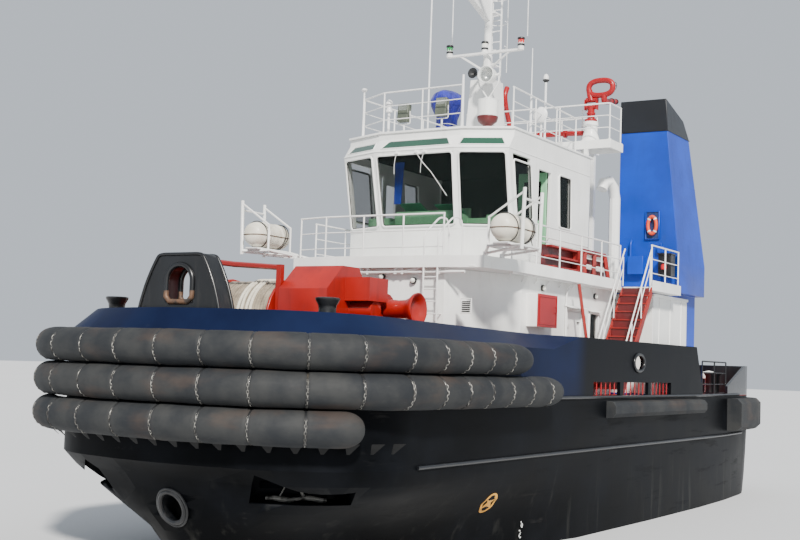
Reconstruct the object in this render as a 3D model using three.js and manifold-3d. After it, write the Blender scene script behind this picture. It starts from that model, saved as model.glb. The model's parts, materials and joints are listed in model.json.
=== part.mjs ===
// Harbour tug with twin azimuth drives, in millimetres: +X to the bow, +Y to port, +Z up.
// The origin is on the centreline at midships, at the waterline.
import * as THREE from "three";
import { mergeVertices } from "three/addons/utils/BufferGeometryUtils.js";
import Module from "manifold-3d";

const wasm = await Module();
wasm.setup();

// Driving dimensions
const DECK_Z = 3400;
const NOSE_X = 13790;
const HALF_BEAM = 4035;
const FRONT_RADIUS = 8490;
const FRONT_HALF_ANGLE = 0.25;
const SHOULDER_RADIUS = 2570;
const TRANSOM_X = -13950;
const QUARTER_RADIUS = 1900;
const AFT_HALF_BEAM = 3750;
const KNUCKLE_Z = 4560;
const BULWARK_TOP_Z = 4900;
const BOW_RISE = 130;
const BULWARK_AFT_X = -6600;
const BULWARK_RAKE = 700;
const PLATE = 90;
const TUBE_RADIUS = 344.8;
const TUBE_PITCH = 690;
const TOP_TUBE_Z = 4270;
const BRIDGE_DECK_Z = 6500;
const BRIDGE_HALF_WIDTH = 2960;
const HOUSE_HALF_WIDTH = 2650;
const HOUSE_AFT_X = -2300;
const FLOOR_Z = 7150;
const SILL_Z = 7530;
const KNUCKLE_LINE_Z = 9530;
const BROW_TOP_Z = 9880;
const ROOF_Z = 10100;
const FIRE_DECK_Z = 10580;
const COAMING_Z = 6690;
const LANDING_FORE_X = -2270;
const LANDING_AFT_X = -4700;
const LANDING_HALF_WIDTH = 3900;
const RAIL_HEIGHT = 1080;
const RAIL_RADIUS = 24;
const DRIVE_X = -10200;
const DRIVE_Y = 2100;
const DRIVE_SEAT_Z = -2300;
const PROP_Z = -3900;
const NOZZLE_RADIUS = 1180;
const THRUSTER_X = 7800;
const THRUSTER_Z = -1900;
const TUNNEL_RADIUS = 600;
const DRUM_X = 10300;
const DRUM_Z = 4930;
const HEAD_X = 9400;
const HEAD_Z = 5230;
const MAST_X = 750;
const MONITOR_X = -1450;
const MONITOR_Y = 2250;
const COVER_Y = 2480;
const HOOK_X = -8200;
const CAPSTAN_X = -12300;
const GAP = 0.3;

// Finishes: name, colour, roughness, metalness
const FINISHES = [
  ["hullBlack", 0x16181a, 0.5, 0.1],
  ["navy", 0x20325a, 0.35, 0.1],
  ["white", 0xebece8, 0.35, 0.0],
  ["winchRed", 0xc83223, 0.4, 0.1],
  ["stairRed", 0xaa3223, 0.5, 0.0],
  ["monitorRed", 0xc81428, 0.35, 0.0],
  ["funnelBlue", 0x005fd7, 0.35, 0.0],
  ["rubber", 0x3c3e3e, 0.85, 0.0],
  ["bronze", 0xa07a3a, 0.35, 1.0],
  ["glass", 0x24303a, 0.05, 0.0],
  ["raft", 0xe1dccd, 0.4, 0.0],
  ["rope", 0xd8d2c0, 0.9, 0.0],
  ["tarp", 0x191ea0, 0.7, 0.0],
  ["mint", 0x8cc89b, 0.5, 0.0],
];
const finish = Object.fromEntries(
  FINISHES.map(([name, color, roughness, metalness]) => [
    name,
    new THREE.MeshStandardMaterial({ color, roughness, metalness }),
  ]),
);

const tug = new THREE.Group();

// A closed three.js geometry as a solid that can be joined and cut.
function solid(geometry) {
  const bare = geometry.index ? geometry.toNonIndexed() : geometry.clone();
  bare.deleteAttribute("normal");
  bare.deleteAttribute("uv");
  const merged = mergeVertices(bare, 1e-3);
  return new wasm.Manifold(
    new wasm.Mesh({
      numProp: 3,
      vertProperties: merged.attributes.position.array,
      triVerts: new Uint32Array(merged.index.array),
    }),
  );
}

const join = (...pieces) => pieces.flat().reduce((whole, piece) => whole.add(piece));
const cut = (whole, ...tools) => tools.flat().reduce((left, tool) => left.subtract(tool), whole);
const lerp = (a, b, t) => a + (b - a) * t;
const bothSides = (make) => [make(1), make(-1)];

// Hangs a finished solid in the group as one named mesh.
function addNode(name, shape, material) {
  const mesh = shape.getMesh();
  const geometry = new THREE.BufferGeometry();
  geometry.setAttribute("position", new THREE.BufferAttribute(mesh.vertProperties, 3));
  geometry.setIndex(new THREE.BufferAttribute(mesh.triVerts, 1));
  geometry.computeVertexNormals();
  const node = new THREE.Mesh(geometry, material);
  node.name = name;
  tug.add(node);
}

function box(x0, x1, y0, y1, z0, z1) {
  const geometry = new THREE.BoxGeometry(x1 - x0, y1 - y0, z1 - z0);
  geometry.translate((x0 + x1) / 2, (y0 + y1) / 2, (z0 + z1) / 2);
  return solid(geometry);
}

// A box whose two y values may come in either order.
const slab = (x0, x1, ya, yb, z0, z1) => box(x0, x1, Math.min(ya, yb), Math.max(ya, yb), z0, z1);

// A flat outline of [x, y] corners, raised from z0 to z1.
function prism(corners, z0, z1) {
  const shape = new THREE.Shape(corners.map(([x, y]) => new THREE.Vector2(x, y)));
  const geometry = new THREE.ExtrudeGeometry(shape, { depth: z1 - z0, bevelEnabled: false });
  geometry.translate(0, 0, z0);
  return solid(geometry);
}

// An outline of [x, z] corners, carried along y from y0 to y1.
function sidePrism(corners, y0, y1) {
  const shape = new THREE.Shape(corners.map(([x, z]) => new THREE.Vector2(x, z)));
  const geometry = new THREE.ExtrudeGeometry(shape, { depth: y1 - y0, bevelEnabled: false });
  geometry.rotateX(Math.PI / 2);
  geometry.translate(0, y1, 0);
  return solid(geometry);
}

// An outline of [y, z] corners, carried along x from x0 to x1.
function crossPrism(corners, x0, x1) {
  const shape = new THREE.Shape(corners.map(([y, z]) => new THREE.Vector2(y, z)));
  const geometry = new THREE.ExtrudeGeometry(shape, { depth: x1 - x0, bevelEnabled: false });
  geometry.rotateX(Math.PI / 2);
  geometry.rotateZ(Math.PI / 2);
  geometry.translate(x0, 0, 0);
  return solid(geometry);
}

// A round bar between two points.
function bar(from, to, radius, sides = 6, endRadius = radius) {
  const a = new THREE.Vector3(...from);
  const b = new THREE.Vector3(...to);
  const along = b.clone().sub(a);
  const geometry = new THREE.CylinderGeometry(endRadius, radius, along.length(), sides);
  geometry.applyQuaternion(
    new THREE.Quaternion().setFromUnitVectors(
      new THREE.Vector3(0, 1, 0), along.clone().normalize()),
  );
  const middle = a.add(b).multiplyScalar(0.5);
  geometry.translate(middle.x, middle.y, middle.z);
  return solid(geometry);
}

// A turned shape: [radius, height] pairs that start and end on the axis, stood up along axis.
function turned(profile, segments, centre, axis = "z") {
  const geometry = new THREE.LatheGeometry(
    profile.map(([radius, height]) => new THREE.Vector2(radius, height)), segments);
  if (axis === "z") geometry.rotateX(Math.PI / 2);
  if (axis === "x") geometry.rotateZ(-Math.PI / 2);
  geometry.translate(...centre);
  return outward(solid(geometry));
}

// A ring with a closed [radius, height] section.
const ring = (section, segments, centre, axis) =>
  turned([...section, section[0]], segments, centre, axis);

const outward = (shape) => {
  if (shape.volume() > 0) return shape;
  const mesh = shape.getMesh();
  const flipped = mesh.triVerts.slice();
  for (let i = 0; i < flipped.length; i += 3) {
    [flipped[i + 1], flipped[i + 2]] = [flipped[i + 2], flipped[i + 1]];
  }
  return new wasm.Manifold(
    new wasm.Mesh({ numProp: 3, vertProperties: mesh.vertProperties, triVerts: flipped }));
};

// A closed skin over rings of equal point count; closed joins the last ring to the first.
function loft(rings, closed = false) {
  const count = rings[0].length;
  const positions = rings.flat().flat();
  const faces = [];
  const spans = closed ? rings.length : rings.length - 1;
  for (let i = 0; i < spans; i++) {
    const here = i * count;
    const next = ((i + 1) % rings.length) * count;
    for (let j = 0; j < count; j++) {
      const k = (j + 1) % count;
      faces.push(here + j, here + k, next + k, here + j, next + k, next + j);
    }
  }
  if (!closed) {
    const last = (rings.length - 1) * count;
    for (const [a, b, c] of capFaces(rings[0])) faces.push(a, c, b);
    for (const [a, b, c] of capFaces(rings.at(-1))) faces.push(last + a, last + b, last + c);
  }
  const geometry = new THREE.BufferGeometry();
  geometry.setAttribute("position", new THREE.Float32BufferAttribute(positions, 3));
  geometry.setIndex(faces);
  return outward(solid(geometry));
}

// Triangles that close a flat ring, wound as the ring is, found in the plane where it is widest.
function capFaces(points) {
  const normal = new THREE.Vector3();
  points.forEach((p, i) => {
    const q = points[(i + 1) % points.length];
    normal.add(new THREE.Vector3(...p).cross(new THREE.Vector3(...q)));
  });
  const size = [Math.abs(normal.x), Math.abs(normal.y), Math.abs(normal.z)];
  const drop = size.indexOf(Math.max(...size));
  const [u, v] = [[1, 2], [2, 0], [0, 1]][drop];
  const flat = points.map((p) => new THREE.Vector2(p[u], p[v]));
  const area = THREE.ShapeUtils.area;
  const ringSign = Math.sign(area(flat));
  return THREE.ShapeUtils.triangulateShape(flat, []).map(([a, b, c]) =>
    (Math.sign(area([flat[a], flat[b], flat[c]])) === ringSign ? [a, b, c] : [a, c, b]));
}

// Plan of the deck edge: stations from the stem to the middle of the transom, each with its
// place and its outward normal.
function deckEdge() {
  const stations = [];
  const arc = (cx, cy, radius, from, to, steps, skip = 0) => {
    for (let i = skip; i <= steps; i++) {
      const angle = lerp(from, to, i / steps);
      const nx = Math.cos(angle);
      const ny = Math.sin(angle);
      stations.push({ x: cx + radius * nx, y: cy + radius * ny, nx, ny });
    }
  };
  const shoulderX = NOSE_X - FRONT_RADIUS
    + (FRONT_RADIUS - SHOULDER_RADIUS) * Math.cos(FRONT_HALF_ANGLE);
  const quarterX = TRANSOM_X + QUARTER_RADIUS;
  arc(NOSE_X - FRONT_RADIUS, 0, FRONT_RADIUS, 0, FRONT_HALF_ANGLE, 2);
  arc(shoulderX, HALF_BEAM - SHOULDER_RADIUS, SHOULDER_RADIUS,
    FRONT_HALF_ANGLE, Math.PI / 2, 8, 1);
  for (const x of [8600, 6200, 4600, 3000, -2000, -6600, -9400]) {
    const t = Math.max(0, (-6000 - x) / (-6000 - quarterX));
    stations.push({ x, y: lerp(HALF_BEAM, AFT_HALF_BEAM, t * t), nx: 0, ny: 1 });
  }
  arc(quarterX, AFT_HALF_BEAM - QUARTER_RADIUS, QUARTER_RADIUS, Math.PI / 2, Math.PI, 5);
  stations.push({ x: TRANSOM_X, y: 0, nx: -1, ny: 0 });
  return stations;
}

const EDGE = deckEdge();
const mirrored = (stations) => stations.map((s) => ({ ...s, y: -s.y, ny: -s.ny }));
// Stations from one side round the bow to the other, stopping at a chosen last station.
const roundBow = (last) => [
  ...mirrored(EDGE.slice(1, last + 1)).reverse(), ...EDGE.slice(0, last + 1)];
// Stations from one quarter round the stern to the other.
const roundStern = (first) => [
  ...EDGE.slice(first), ...mirrored(EDGE.slice(first, -1)).reverse()];

// A section of [out, z] pairs carried along stations; out is measured off the deck edge.
function sweep(stations, sectionAt) {
  const rings = stations.map((s, i) =>
    sectionAt(s, i).map(([out, z, shift = 0]) => [
      s.x + s.nx * out + shift, s.y + s.ny * out, z]));
  return loft(rings);
}

// Hull levels: height, stem x, how far the bow pinches in, share of the beam, stern end x
const HULL_LEVELS = [
  [-3300, 9000, 0.92, 0.52, -4300],
  [-3080, 10000, 0.9, 0.74, -5800],
  [-2450, 10900, 0.88, 0.91, -8000],
  [-1500, 11750, 0.84, 0.985, -10900],
  [-700, 12250, 0.8, 1, -13100],
  [100, 12600, 0.74, 1, -13500],
  [700, 12900, 0.6, 1, -13700],
  [1000, 13080, 0.44, 1, -13750],
  [1200, 13150, 0.32, 1, -13800],
  [1500, 13250, 0.14, 1, -13860],
  [1800, 13400, 0, 1, -13900],
  [2100, NOSE_X, 0, 1, TRANSOM_X],
  [DECK_Z, NOSE_X, 0, 1, TRANSOM_X],
];
const BOW_FROM_X = 2000;
const STERN_FROM_X = -2000;

function hullPoint(station, [z, stemX, pinch, beam, sternX]) {
  const ahead = Math.max(0, (station.x - BOW_FROM_X) / (NOSE_X - BOW_FROM_X));
  let x = station.x;
  if (x > BOW_FROM_X) x = lerp(BOW_FROM_X, stemX, ahead);
  if (x < STERN_FROM_X) {
    x = lerp(STERN_FROM_X, sternX, (STERN_FROM_X - x) / (STERN_FROM_X - TRANSOM_X));
  }
  return [x, station.y * beam * (1 - pinch * ahead ** 1.5), z];
}

function makeHull() {
  const outline = [...EDGE, ...mirrored(EDGE.slice(1, -1)).reverse()];
  const body = loft(HULL_LEVELS.map((level) => outline.map((s) => hullPoint(s, level))));
  const tunnel = bar([THRUSTER_X, -5000, THRUSTER_Z], [THRUSTER_X, 5000, THRUSTER_Z],
    TUNNEL_RADIUS, 20);
  const recesses = bothSides((side) => {
    const [x, y, z] = ANCHOR_PLACE;
    return box(-500, 500, -950, 950, -310, 310).rotate([0, 0, side * ANCHOR_TURN])
      .translate([x, side * y, z]);
  });
  const bellmouth = bar([12700, 0, 1150], [14000, 0, 1300], 260, 14);
  const hollowed = cut(body, tunnel, recesses, bellmouth);
  const seats = bothSides((side) =>
    bar([DRIVE_X, side * DRIVE_Y, DRIVE_SEAT_Z], [DRIVE_X, side * DRIVE_Y, -1200], 720, 16));
  addNode("hull", join(hollowed, ...seats, skeg(), thrusterGear(), ...bothSides(anchor)),
    finish.hullBlack);
}

// Fin under the keel, ahead of the drives
function skeg() {
  const half = 130;
  return sidePrism([[3200, -3200], [-7700, -2300], [-7950, -4700], [-7400, -4850],
    [-2500, -4850], [1500, -4100]], -half, half);
}

function thrusterGear() {
  const leg = bar([THRUSTER_X, 0, THRUSTER_Z + TUNNEL_RADIUS + 60], [THRUSTER_X, 0, THRUSTER_Z],
    95, 8);
  const pod = turned([[0, -330], [110, -290], [150, -80], [150, 160 - GAP], [0, 160 - GAP]],
    10, [THRUSTER_X, 0, THRUSTER_Z], "y");
  return join(leg, pod);
}

const ANCHOR_PLACE = [12350, 2450, 1720];
const ANCHOR_TURN = 45;

// Stockless anchor lying in its recess, its back against the inner wall
function anchor(side) {
  const back = -520;
  const shank = box(back, back + 120, -700, 640, -55, 55);
  const crown = box(back, back + 190, 560, 700, -240, 240);
  const flukes = [-1, 1].map((up) => loft([
    [[back + 40, 600, up * 110], [back + 150, 600, up * 110], [back + 150, 600, up * 235],
      [back + 40, 600, up * 235]],
    [[back + 90, -60, up * 190], [back + 130, -60, up * 190], [back + 130, -60, up * 230],
      [back + 90, -60, up * 230]]]));
  const turnedPiece = join(shank, crown, ...flukes);
  const [x, y, z] = ANCHOR_PLACE;
  const handed = side > 0 ? turnedPiece : turnedPiece.scale([1, -1, 1]);
  return handed.rotate([0, 0, side * ANCHOR_TURN]).translate([x, side * y, z]);
}

function bulwarkInset(s) {
  if (s.x < 2900) return 0;
  if (s.x < 4700) return lerp(0, 480, (s.x - 3000) / 1600);
  const shoulder = Math.min(1, Math.abs(s.y) / 3000);
  return lerp(240, 520, shoulder);
}

function makeBulwark() {
  const last = EDGE.findIndex((s) => s.x === BULWARK_AFT_X);
  const stations = roundBow(last);
  const wall = sweep(stations, (s, i) => {
    const end = i === 0 || i === stations.length - 1;
    const inset = bulwarkInset(s);
    const top = BULWARK_TOP_Z + BOW_RISE * Math.max(0, (s.x - 5000) / (NOSE_X - 5000));
    const rake = (z) => (end ? (BULWARK_RAKE * (z - DECK_Z)) / (top - DECK_Z) : 0);
    return [
      [0, DECK_Z + GAP, 0], [0, KNUCKLE_Z, rake(KNUCKLE_Z)], [-inset, top, rake(top)],
      [-inset - PLATE, top, rake(top)], [-PLATE, KNUCKLE_Z - 40, rake(KNUCKLE_Z - 40)],
      [-PLATE, DECK_Z + GAP, 0]];
  });
  // Freeing ports: forward end, aft end
  const ports = [[2180, 380], [130, -1720], [-1930, -3600]].flatMap(([forward, aft]) =>
    bothSides((side) => box(aft, forward, Math.min(side * 3700, side * 4400),
      Math.max(side * 3700, side * 4400), DECK_Z + 60, DECK_Z + 400)));
  const fairleads = bothSides((side) => {
    const hole = new THREE.CylinderGeometry(1, 1, 900, 16);
    hole.scale(380, 1, 230);
    hole.translate(-940, side * HALF_BEAM, 4330);
    return solid(hole);
  });
  const posts = bothSides((side) => join(
    bollard(12100, side * 2720, DECK_Z + GAP, 5300, 155),
    box(0, 880, -60, 60, 4400, 4500).rotate([0, 0, side * 50])
      .translate([12100, side * 2720, 0])));
  addNode("bulwark", join(cut(wall, ports, fairleads), ...posts), finish.navy);
}

function makeAftBulwark() {
  const first = EDGE.findIndex((s) => s.x === -9400);
  const stations = roundStern(first);
  const wall = sweep(stations, (s, i) => {
    const end = i === 0 || i === stations.length - 1;
    const top = DECK_Z + (end ? 300 : 1000);
    return [[0, DECK_Z + GAP], [0, top], [-PLATE, top], [-PLATE, DECK_Z + GAP]];
  });
  const bitts = bothSides((side) => {
    const y = side * 2900;
    const bed = box(-11700, -10500, y - 240, y + 240, DECK_Z + GAP, DECK_Z + 60);
    const shelf = box(-11500, -10700, Math.min(y, side * 3760), Math.max(y, side * 3760),
      DECK_Z + GAP, DECK_Z + 60);
    const pair = [-11400, -10800].map((x) => bollard(x, y, DECK_Z + 30, DECK_Z + 750, 150));
    return join(bed, shelf, ...pair);
  });
  const rails = bothSides((side) => railing([[-6700, side * 3950, DECK_Z],
    [-9450, side * 3860, DECK_Z]]));
  addNode("stern_bulwark", join(wall, ...bitts, ...rails), finish.hullBlack);
}

// A round section of [out, z] pairs, seated against the plating.
function tubeSection(radius, z, sides = 12) {
  return Array.from({ length: sides }, (_, i) => {
    const angle = (2 * Math.PI * i) / sides;
    return [TUBE_RADIUS + GAP + radius * Math.cos(angle), z + radius * Math.sin(angle)];
  });
}

// Bow fender tubes: name, row, last station round the side, reach past it
const BOW_TUBES = [
  ["bow_fender_top", 0, 12, 6730],
  ["bow_fender_middle", 1, 12, 5090],
  ["bow_fender_lower", 2, 8, null],
];

function makeBowFenders() {
  for (const [name, row, last, endX] of BOW_TUBES) {
    const z = TOP_TUBE_Z - row * TUBE_PITCH;
    const half = EDGE.slice(0, last).map((s) => ({ ...s }));
    if (endX !== null) {
      half.push({ x: endX + 900, y: HALF_BEAM, nx: 0, ny: 1 });
      half.push({ x: endX, y: HALF_BEAM, nx: 0, ny: 1 });
    }
    const stations = [...mirrored(half.slice(1)).reverse(), ...half];
    const tube = sweep(stations, (s, i) => {
      const end = i === 0 || i === stations.length - 1;
      return tubeSection(end ? TUBE_RADIUS * 0.45 : TUBE_RADIUS, z);
    });
    addNode(name, tube, finish.rubber);
  }
}

function makeSternFender() {
  const first = EDGE.findIndex((s) => s.x === -9400);
  const fender = sweep(roundStern(first), () => [
    [GAP, 2250], [330, 2250], [480, 2400], [480, 3150], [330, 3300], [GAP, 3300]]);
  addNode("stern_fender", fender, finish.rubber);
}

function makeSideFenders() {
  for (const [name, side] of [["side_fender_port", 1], ["side_fender_starboard", -1]]) {
    const stations = [1300, -2000, -6200].map((x) => ({
      x, y: side * (HALF_BEAM - (x < -6000 ? 1 : 0)), nx: 0, ny: side }));
    const fender = sweep(stations, () => [
      [GAP, 2880], [180, 2900], [260, 3000], [260, 3180], [180, 3290], [GAP, 3320]]);
    addNode(name, fender, finish.rubber);
  }
}

// Azimuth drives: name, side
const DRIVES = [["port", 1], ["starboard", -1]];

function makeDrives() {
  for (const [name, side] of DRIVES) {
    const y = side * DRIVE_Y;
    const leg = bar([DRIVE_X, y, DRIVE_SEAT_Z - 50], [DRIVE_X, y, PROP_Z], 330, 12);
    const collar = turned([[0, DRIVE_SEAT_Z - 300], [480, DRIVE_SEAT_Z - 300],
      [600, DRIVE_SEAT_Z - 150], [600, DRIVE_SEAT_Z - GAP],
      [0, DRIVE_SEAT_Z - GAP]],
    14, [DRIVE_X, y, 0]);
    const pod = turned([[0, GAP - 930], [140, GAP - 930], [150, -840], [300, -640], [330, 0],
      [300, 320], [0, 320]], 14, [DRIVE_X, y, PROP_Z], "x");
    const nozzle = ring([[1120, -1250], [NOZZLE_RADIUS, -500], [NOZZLE_RADIUS, -360],
      [1030, -350], [1010, -900], [1030, -1240]], 20, [DRIVE_X, y, PROP_Z], "x");
    const struts = [0, 120, 240].map((turn) =>
      box(-500, -390, -45, 45, 250, 1080).rotate([turn, 0, 0]).translate([DRIVE_X, y, PROP_Z]));
    addNode(`azimuth_drive_${name}`, join(leg, collar, pod, nozzle, ...struts),
      finish.hullBlack);
    addNode(`propeller_${name}`,
      propeller([DRIVE_X - 1060, y, PROP_Z], 960, 190, 4, side), finish.bronze);
  }
}

// A screw with twisted blades round a hub; the axis runs along x.
function propeller(centre, radius, hubRadius, blades, hand, axis = "x") {
  const hub = turned([[0, -150], [hubRadius * 0.6, -140], [hubRadius, -60], [hubRadius, 130],
    [0, 130]], 12, [0, 0, 0], "x");
  const wheel = [hub];
  for (let i = 0; i < blades; i++) {
    const rings = [[0.16, 1.05, 0.2], [0.5, 0.72, 0.34], [0.82, 0.5, 0.36], [1, 0.36, 0.2]].map(
      ([reach, pitch, chord]) => {
        const half = radius * chord;
        const thick = radius * 0.03 * (1.4 - reach);
        const c = Math.cos(pitch) * hand;
        const s = Math.sin(pitch);
        return [[-half, -thick], [half, -thick], [half, thick], [-half, thick]].map(([u, w]) => [
          u * s * 0.55 + w, (u * c) - w * 0.2, radius * reach]);
      });
    const blade = loft(rings).rotate([(360 * i) / blades, 0, 0]);
    wheel.push(blade);
  }
  let whole = join(wheel);
  if (axis === "y") whole = whole.rotate([0, 0, 90]);
  return whole.translate(centre);
}

function makeBowThruster() {
  addNode("bow_thruster_propeller",
    propeller([THRUSTER_X, 310, THRUSTER_Z], 540, 120, 4, 1, "y"), finish.bronze);
}

// Arched staple: half width and height round its outside, from the foot to the crown
const STAPLE_OUTSIDE = [
  [1210, DECK_Z + GAP], [1120, 4300], [1010, 5050], [860, 5500], [700, 5830], [625, 5990],
  [560, 6080], [430, 6100],
];
const STAPLE_X = 13020;
const STAPLE_DEPTH = 420;

function makeStaple() {
  const [mouthHalf, mouthLow, mouthSpring] = [330, 5150, 5560];
  const outside = [...STAPLE_OUTSIDE, ...STAPLE_OUTSIDE.map(([y, z]) => [-y, z]).reverse()];
  const mouth = Array.from({ length: 13 }, (_, i) => {
    const angle = (Math.PI * i) / 12;
    return [mouthHalf * Math.cos(angle), mouthSpring + mouthHalf * 0.95 * Math.sin(angle)];
  });
  mouth.push([-mouthHalf, mouthLow], [mouthHalf, mouthLow]);
  const legGap = [[-820, DECK_Z - 50], [-720, 4550], [720, 4550], [820, DECK_Z - 50]];
  const [back, front] = [STAPLE_X - STAPLE_DEPTH / 2, STAPLE_X + STAPLE_DEPTH / 2];
  const arch = cut(crossPrism(outside, back, front),
    crossPrism(mouth, back - 100, front + 100), crossPrism(legGap, back - 100, front + 100));
  addNode("towing_staple", arch, finish.hullBlack);
}

// A single bollard with a flared head, stood on the deck.
function bollard(x, y, bottom, top, radius) {
  return turned([[0, bottom], [radius * 1.5, bottom], [radius * 1.5, bottom + 30],
    [radius, bottom + 31], [radius, top - 150], [radius * 1.35, top - 60],
    [radius * 1.35, top], [0, top]], 12, [x, y, 0]);
}

function makeWinch() {
  const base = join(
    box(9500, 11100, -1250, 2000, DECK_Z + GAP, DECK_Z + 300),
    box(10000, 10600, -1230, -1110, DECK_Z + 200, 5250),
    box(10050, 10550, 620, 740, DECK_Z + 200, 5150));
  const cheek = turned([[0, -1215], [330, -1215], [330, -1130], [120, -1129],
    [120, -1100 - GAP], [0, -1100 - GAP]], 14, [DRUM_X, 0, DRUM_Z], "y");
  const shaft = bar([DRUM_X, 580 + GAP, DRUM_Z], [DRUM_X, 780, DRUM_Z], 120, 12);
  const brakePost = join(
    box(10860, 10980, -1240, -1140, DECK_Z + 200, 6230),
    bar([10920, -1190, 6150], [10920, -560, 6080], 60, 6),
    bar([10920, -560, 6080], [10920, 680, 6000], 60, 6),
    box(10860, 10980, 620, 740, DECK_Z + 200, 6060));
  const gearcase = sidePrism([
    [9500, DECK_Z + 200], [9500, 5500], [9900, 6060], [10500, 6060], [11050, 5560],
    [11100, DECK_Z + 200]], 760, 1960);
  const gearArm = box(9700, 10400, 1900, 2560, 5350, 5830);
  const motor = bar([10050, 1950, 5160], [10050, 2500, 5160], 210, 12);

  const drum = join(
    turned([[0, -1100], [880, -1100], [880, -1040], [430, -1040], [430, 520], [880, 520],
      [880, 580], [0, 580]], 24, [DRUM_X, 0, DRUM_Z], "y"));
  addNode("winch_drum", drum, finish.winchRed);
  const rope = ring([[430 + GAP, -1040 + GAP], [760, -1040 + GAP], [760, 520 - GAP],
    [430 + GAP, 520 - GAP]], 24, [DRUM_X, 0, DRUM_Z], "y");
  addNode("drum_hawser", rope, finish.rope);

  const headFrame = join(
    box(9150, 9650, 1300, 1420, DECK_Z + GAP, HEAD_Z + 150),
    box(9150, 9650, 2080, 2360, DECK_Z + GAP, HEAD_Z + 80),
    bar([HEAD_X, 1350, HEAD_Z], [HEAD_X, 2200, HEAD_Z], 110, 10),
    turned([[0, 2120], [330, 2120], [330, 2360], [0, 2360]], 16, [HEAD_X, 0, HEAD_Z], "y"));
  addNode("winch_frame", join(base, cheek, shaft, brakePost, gearcase, gearArm, motor, headFrame),
    finish.winchRed);
  const head = turned([[0, 2360 + GAP], [90, 2360 + GAP], [90, 2390], [250, 2390], [230, 2420],
    [200, 2700], [220, 2950], [350, 3080], [350, 3140], [0, 3140]], 16, [HEAD_X, 0, HEAD_Z], "y");
  addNode("warping_head", head, finish.winchRed);
}

const HOUSE_WALL = 80;
const CABINET_AFT_X = 2150;
const CABINET_FORE_X = 3300;
// Pins of the deckhouse doors
const DOOR_PIN_RADIUS = 16;
const HOUSE_DOOR_AFT_X = -80;
const HOUSE_DOOR_FORE_X = 820;
const DOOR_PIN_X = HOUSE_DOOR_FORE_X + 3;
const DOOR_PIN_Y = HOUSE_HALF_WIDTH + DOOR_PIN_RADIUS + GAP;
// Deckhouse plan on one side, front to back: x, y at the foot, and x, y at the top
const HOUSE_PLAN = [
  [5800, 1700, 5800, 1700],
  [3600, HOUSE_HALF_WIDTH, 3250, HOUSE_HALF_WIDTH],
  [HOUSE_AFT_X, HOUSE_HALF_WIDTH, HOUSE_AFT_X, HOUSE_HALF_WIDTH],
];
const symmetric = (corners) => [
  ...corners.map(([x, y]) => [x, y]), ...corners.map(([x, y]) => [x, -y]).reverse()];

function makeDeckhouse() {
  const foot = symmetric(HOUSE_PLAN);
  const head = symmetric(HOUSE_PLAN.map(([, , x, y]) => [x, y]));
  const at = (corners, z, inset) => corners.map(([x, y]) => [
    x - Math.sign(x) * inset, y - Math.sign(y) * inset, z]);
  const levels = (inset, bottom, top) => loft([
    at(foot, bottom, inset), at(foot, 5960, inset), at(head, top, inset)]);
  const shell = levels(0, DECK_Z + GAP, BRIDGE_DECK_Z - 100 - GAP);
  const room = levels(HOUSE_WALL, DECK_Z - 100, BRIDGE_DECK_Z - 180);
  const doorways = bothSides((side) => box(HOUSE_DOOR_AFT_X, HOUSE_DOOR_FORE_X,
    side * 2500 - 300, side * 2500 + 300, DECK_Z + 200, DECK_Z + 2250));
  const windows = bothSides((side) => [
    box(-1300, -700, side * 2600 - 200, side * 2600 + 200, 4950, 5650)]).flat();
  const cabinets = bothSides((side) => {
    const [inner, outer] = [side * (HOUSE_HALF_WIDTH - 40), side * (HOUSE_HALF_WIDTH + 300)];
    const back = side * (HOUSE_HALF_WIDTH + 40);
    const mouth = side * (HOUSE_HALF_WIDTH + 400);
    return cut(slab(CABINET_AFT_X, CABINET_FORE_X, inner, outer, 5130, 5960),
      slab(CABINET_AFT_X + 40, CABINET_FORE_X - 40, back, mouth, 5170, 5920));
  });
  addNode("deckhouse", join(cut(shell, room, doorways, windows), ...cabinets), finish.white);
  for (const [name, side] of DRIVES) {
    const inside = side * (HOUSE_HALF_WIDTH - 70);
    const leaf = slab(HOUSE_DOOR_AFT_X + 10, HOUSE_DOOR_FORE_X - 10, inside, side * (HOUSE_HALF_WIDTH - 10), DECK_Z + 210,
      DECK_Z + 2240);
    const handleX = HOUSE_DOOR_AFT_X + 120;
    const handle = bar([handleX, inside, DECK_Z + 1200],
      [handleX, side * (HOUSE_HALF_WIDTH + 60), DECK_Z + 1200], 20, 6);
    const hinges = [DECK_Z + 500, DECK_Z + 1850].flatMap((z) => [
      bar([DOOR_PIN_X, side * DOOR_PIN_Y, z - 60], [DOOR_PIN_X, side * DOOR_PIN_Y, z + 60],
        DOOR_PIN_RADIUS, 8),
      slab(DOOR_PIN_X - 123, DOOR_PIN_X, side * (HOUSE_HALF_WIDTH + 6), side * (DOOR_PIN_Y + 10),
        z - 50, z + 50),
      slab(DOOR_PIN_X - 123, DOOR_PIN_X - 33, side * (HOUSE_HALF_WIDTH - 20), side * (HOUSE_HALF_WIDTH + 8),
        z - 50, z + 50)]);
    addNode(`deckhouse_door_${name}`, join(leaf, handle, hinges), finish.white);
  }
}

function makeCabinetDoors() {
  for (const [name, side] of DRIVES) {
    addNode(`hose_cabinet_door_${name}`, slab(CABINET_AFT_X, CABINET_FORE_X,
      side * (HOUSE_HALF_WIDTH + 300 + GAP), side * (HOUSE_HALF_WIDTH + 330),
      5130, 5960),
    finish.monitorRed);
  }
}

// Bridge deck plan on one side, front to back
const BRIDGE_PLAN = [[6060, 1750], [5830, 2750], [5150, 2830], [4850, BRIDGE_HALF_WIDTH],
  [LANDING_FORE_X, BRIDGE_HALF_WIDTH], [LANDING_FORE_X, LANDING_HALF_WIDTH],
  [LANDING_AFT_X, LANDING_HALF_WIDTH]];

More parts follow.
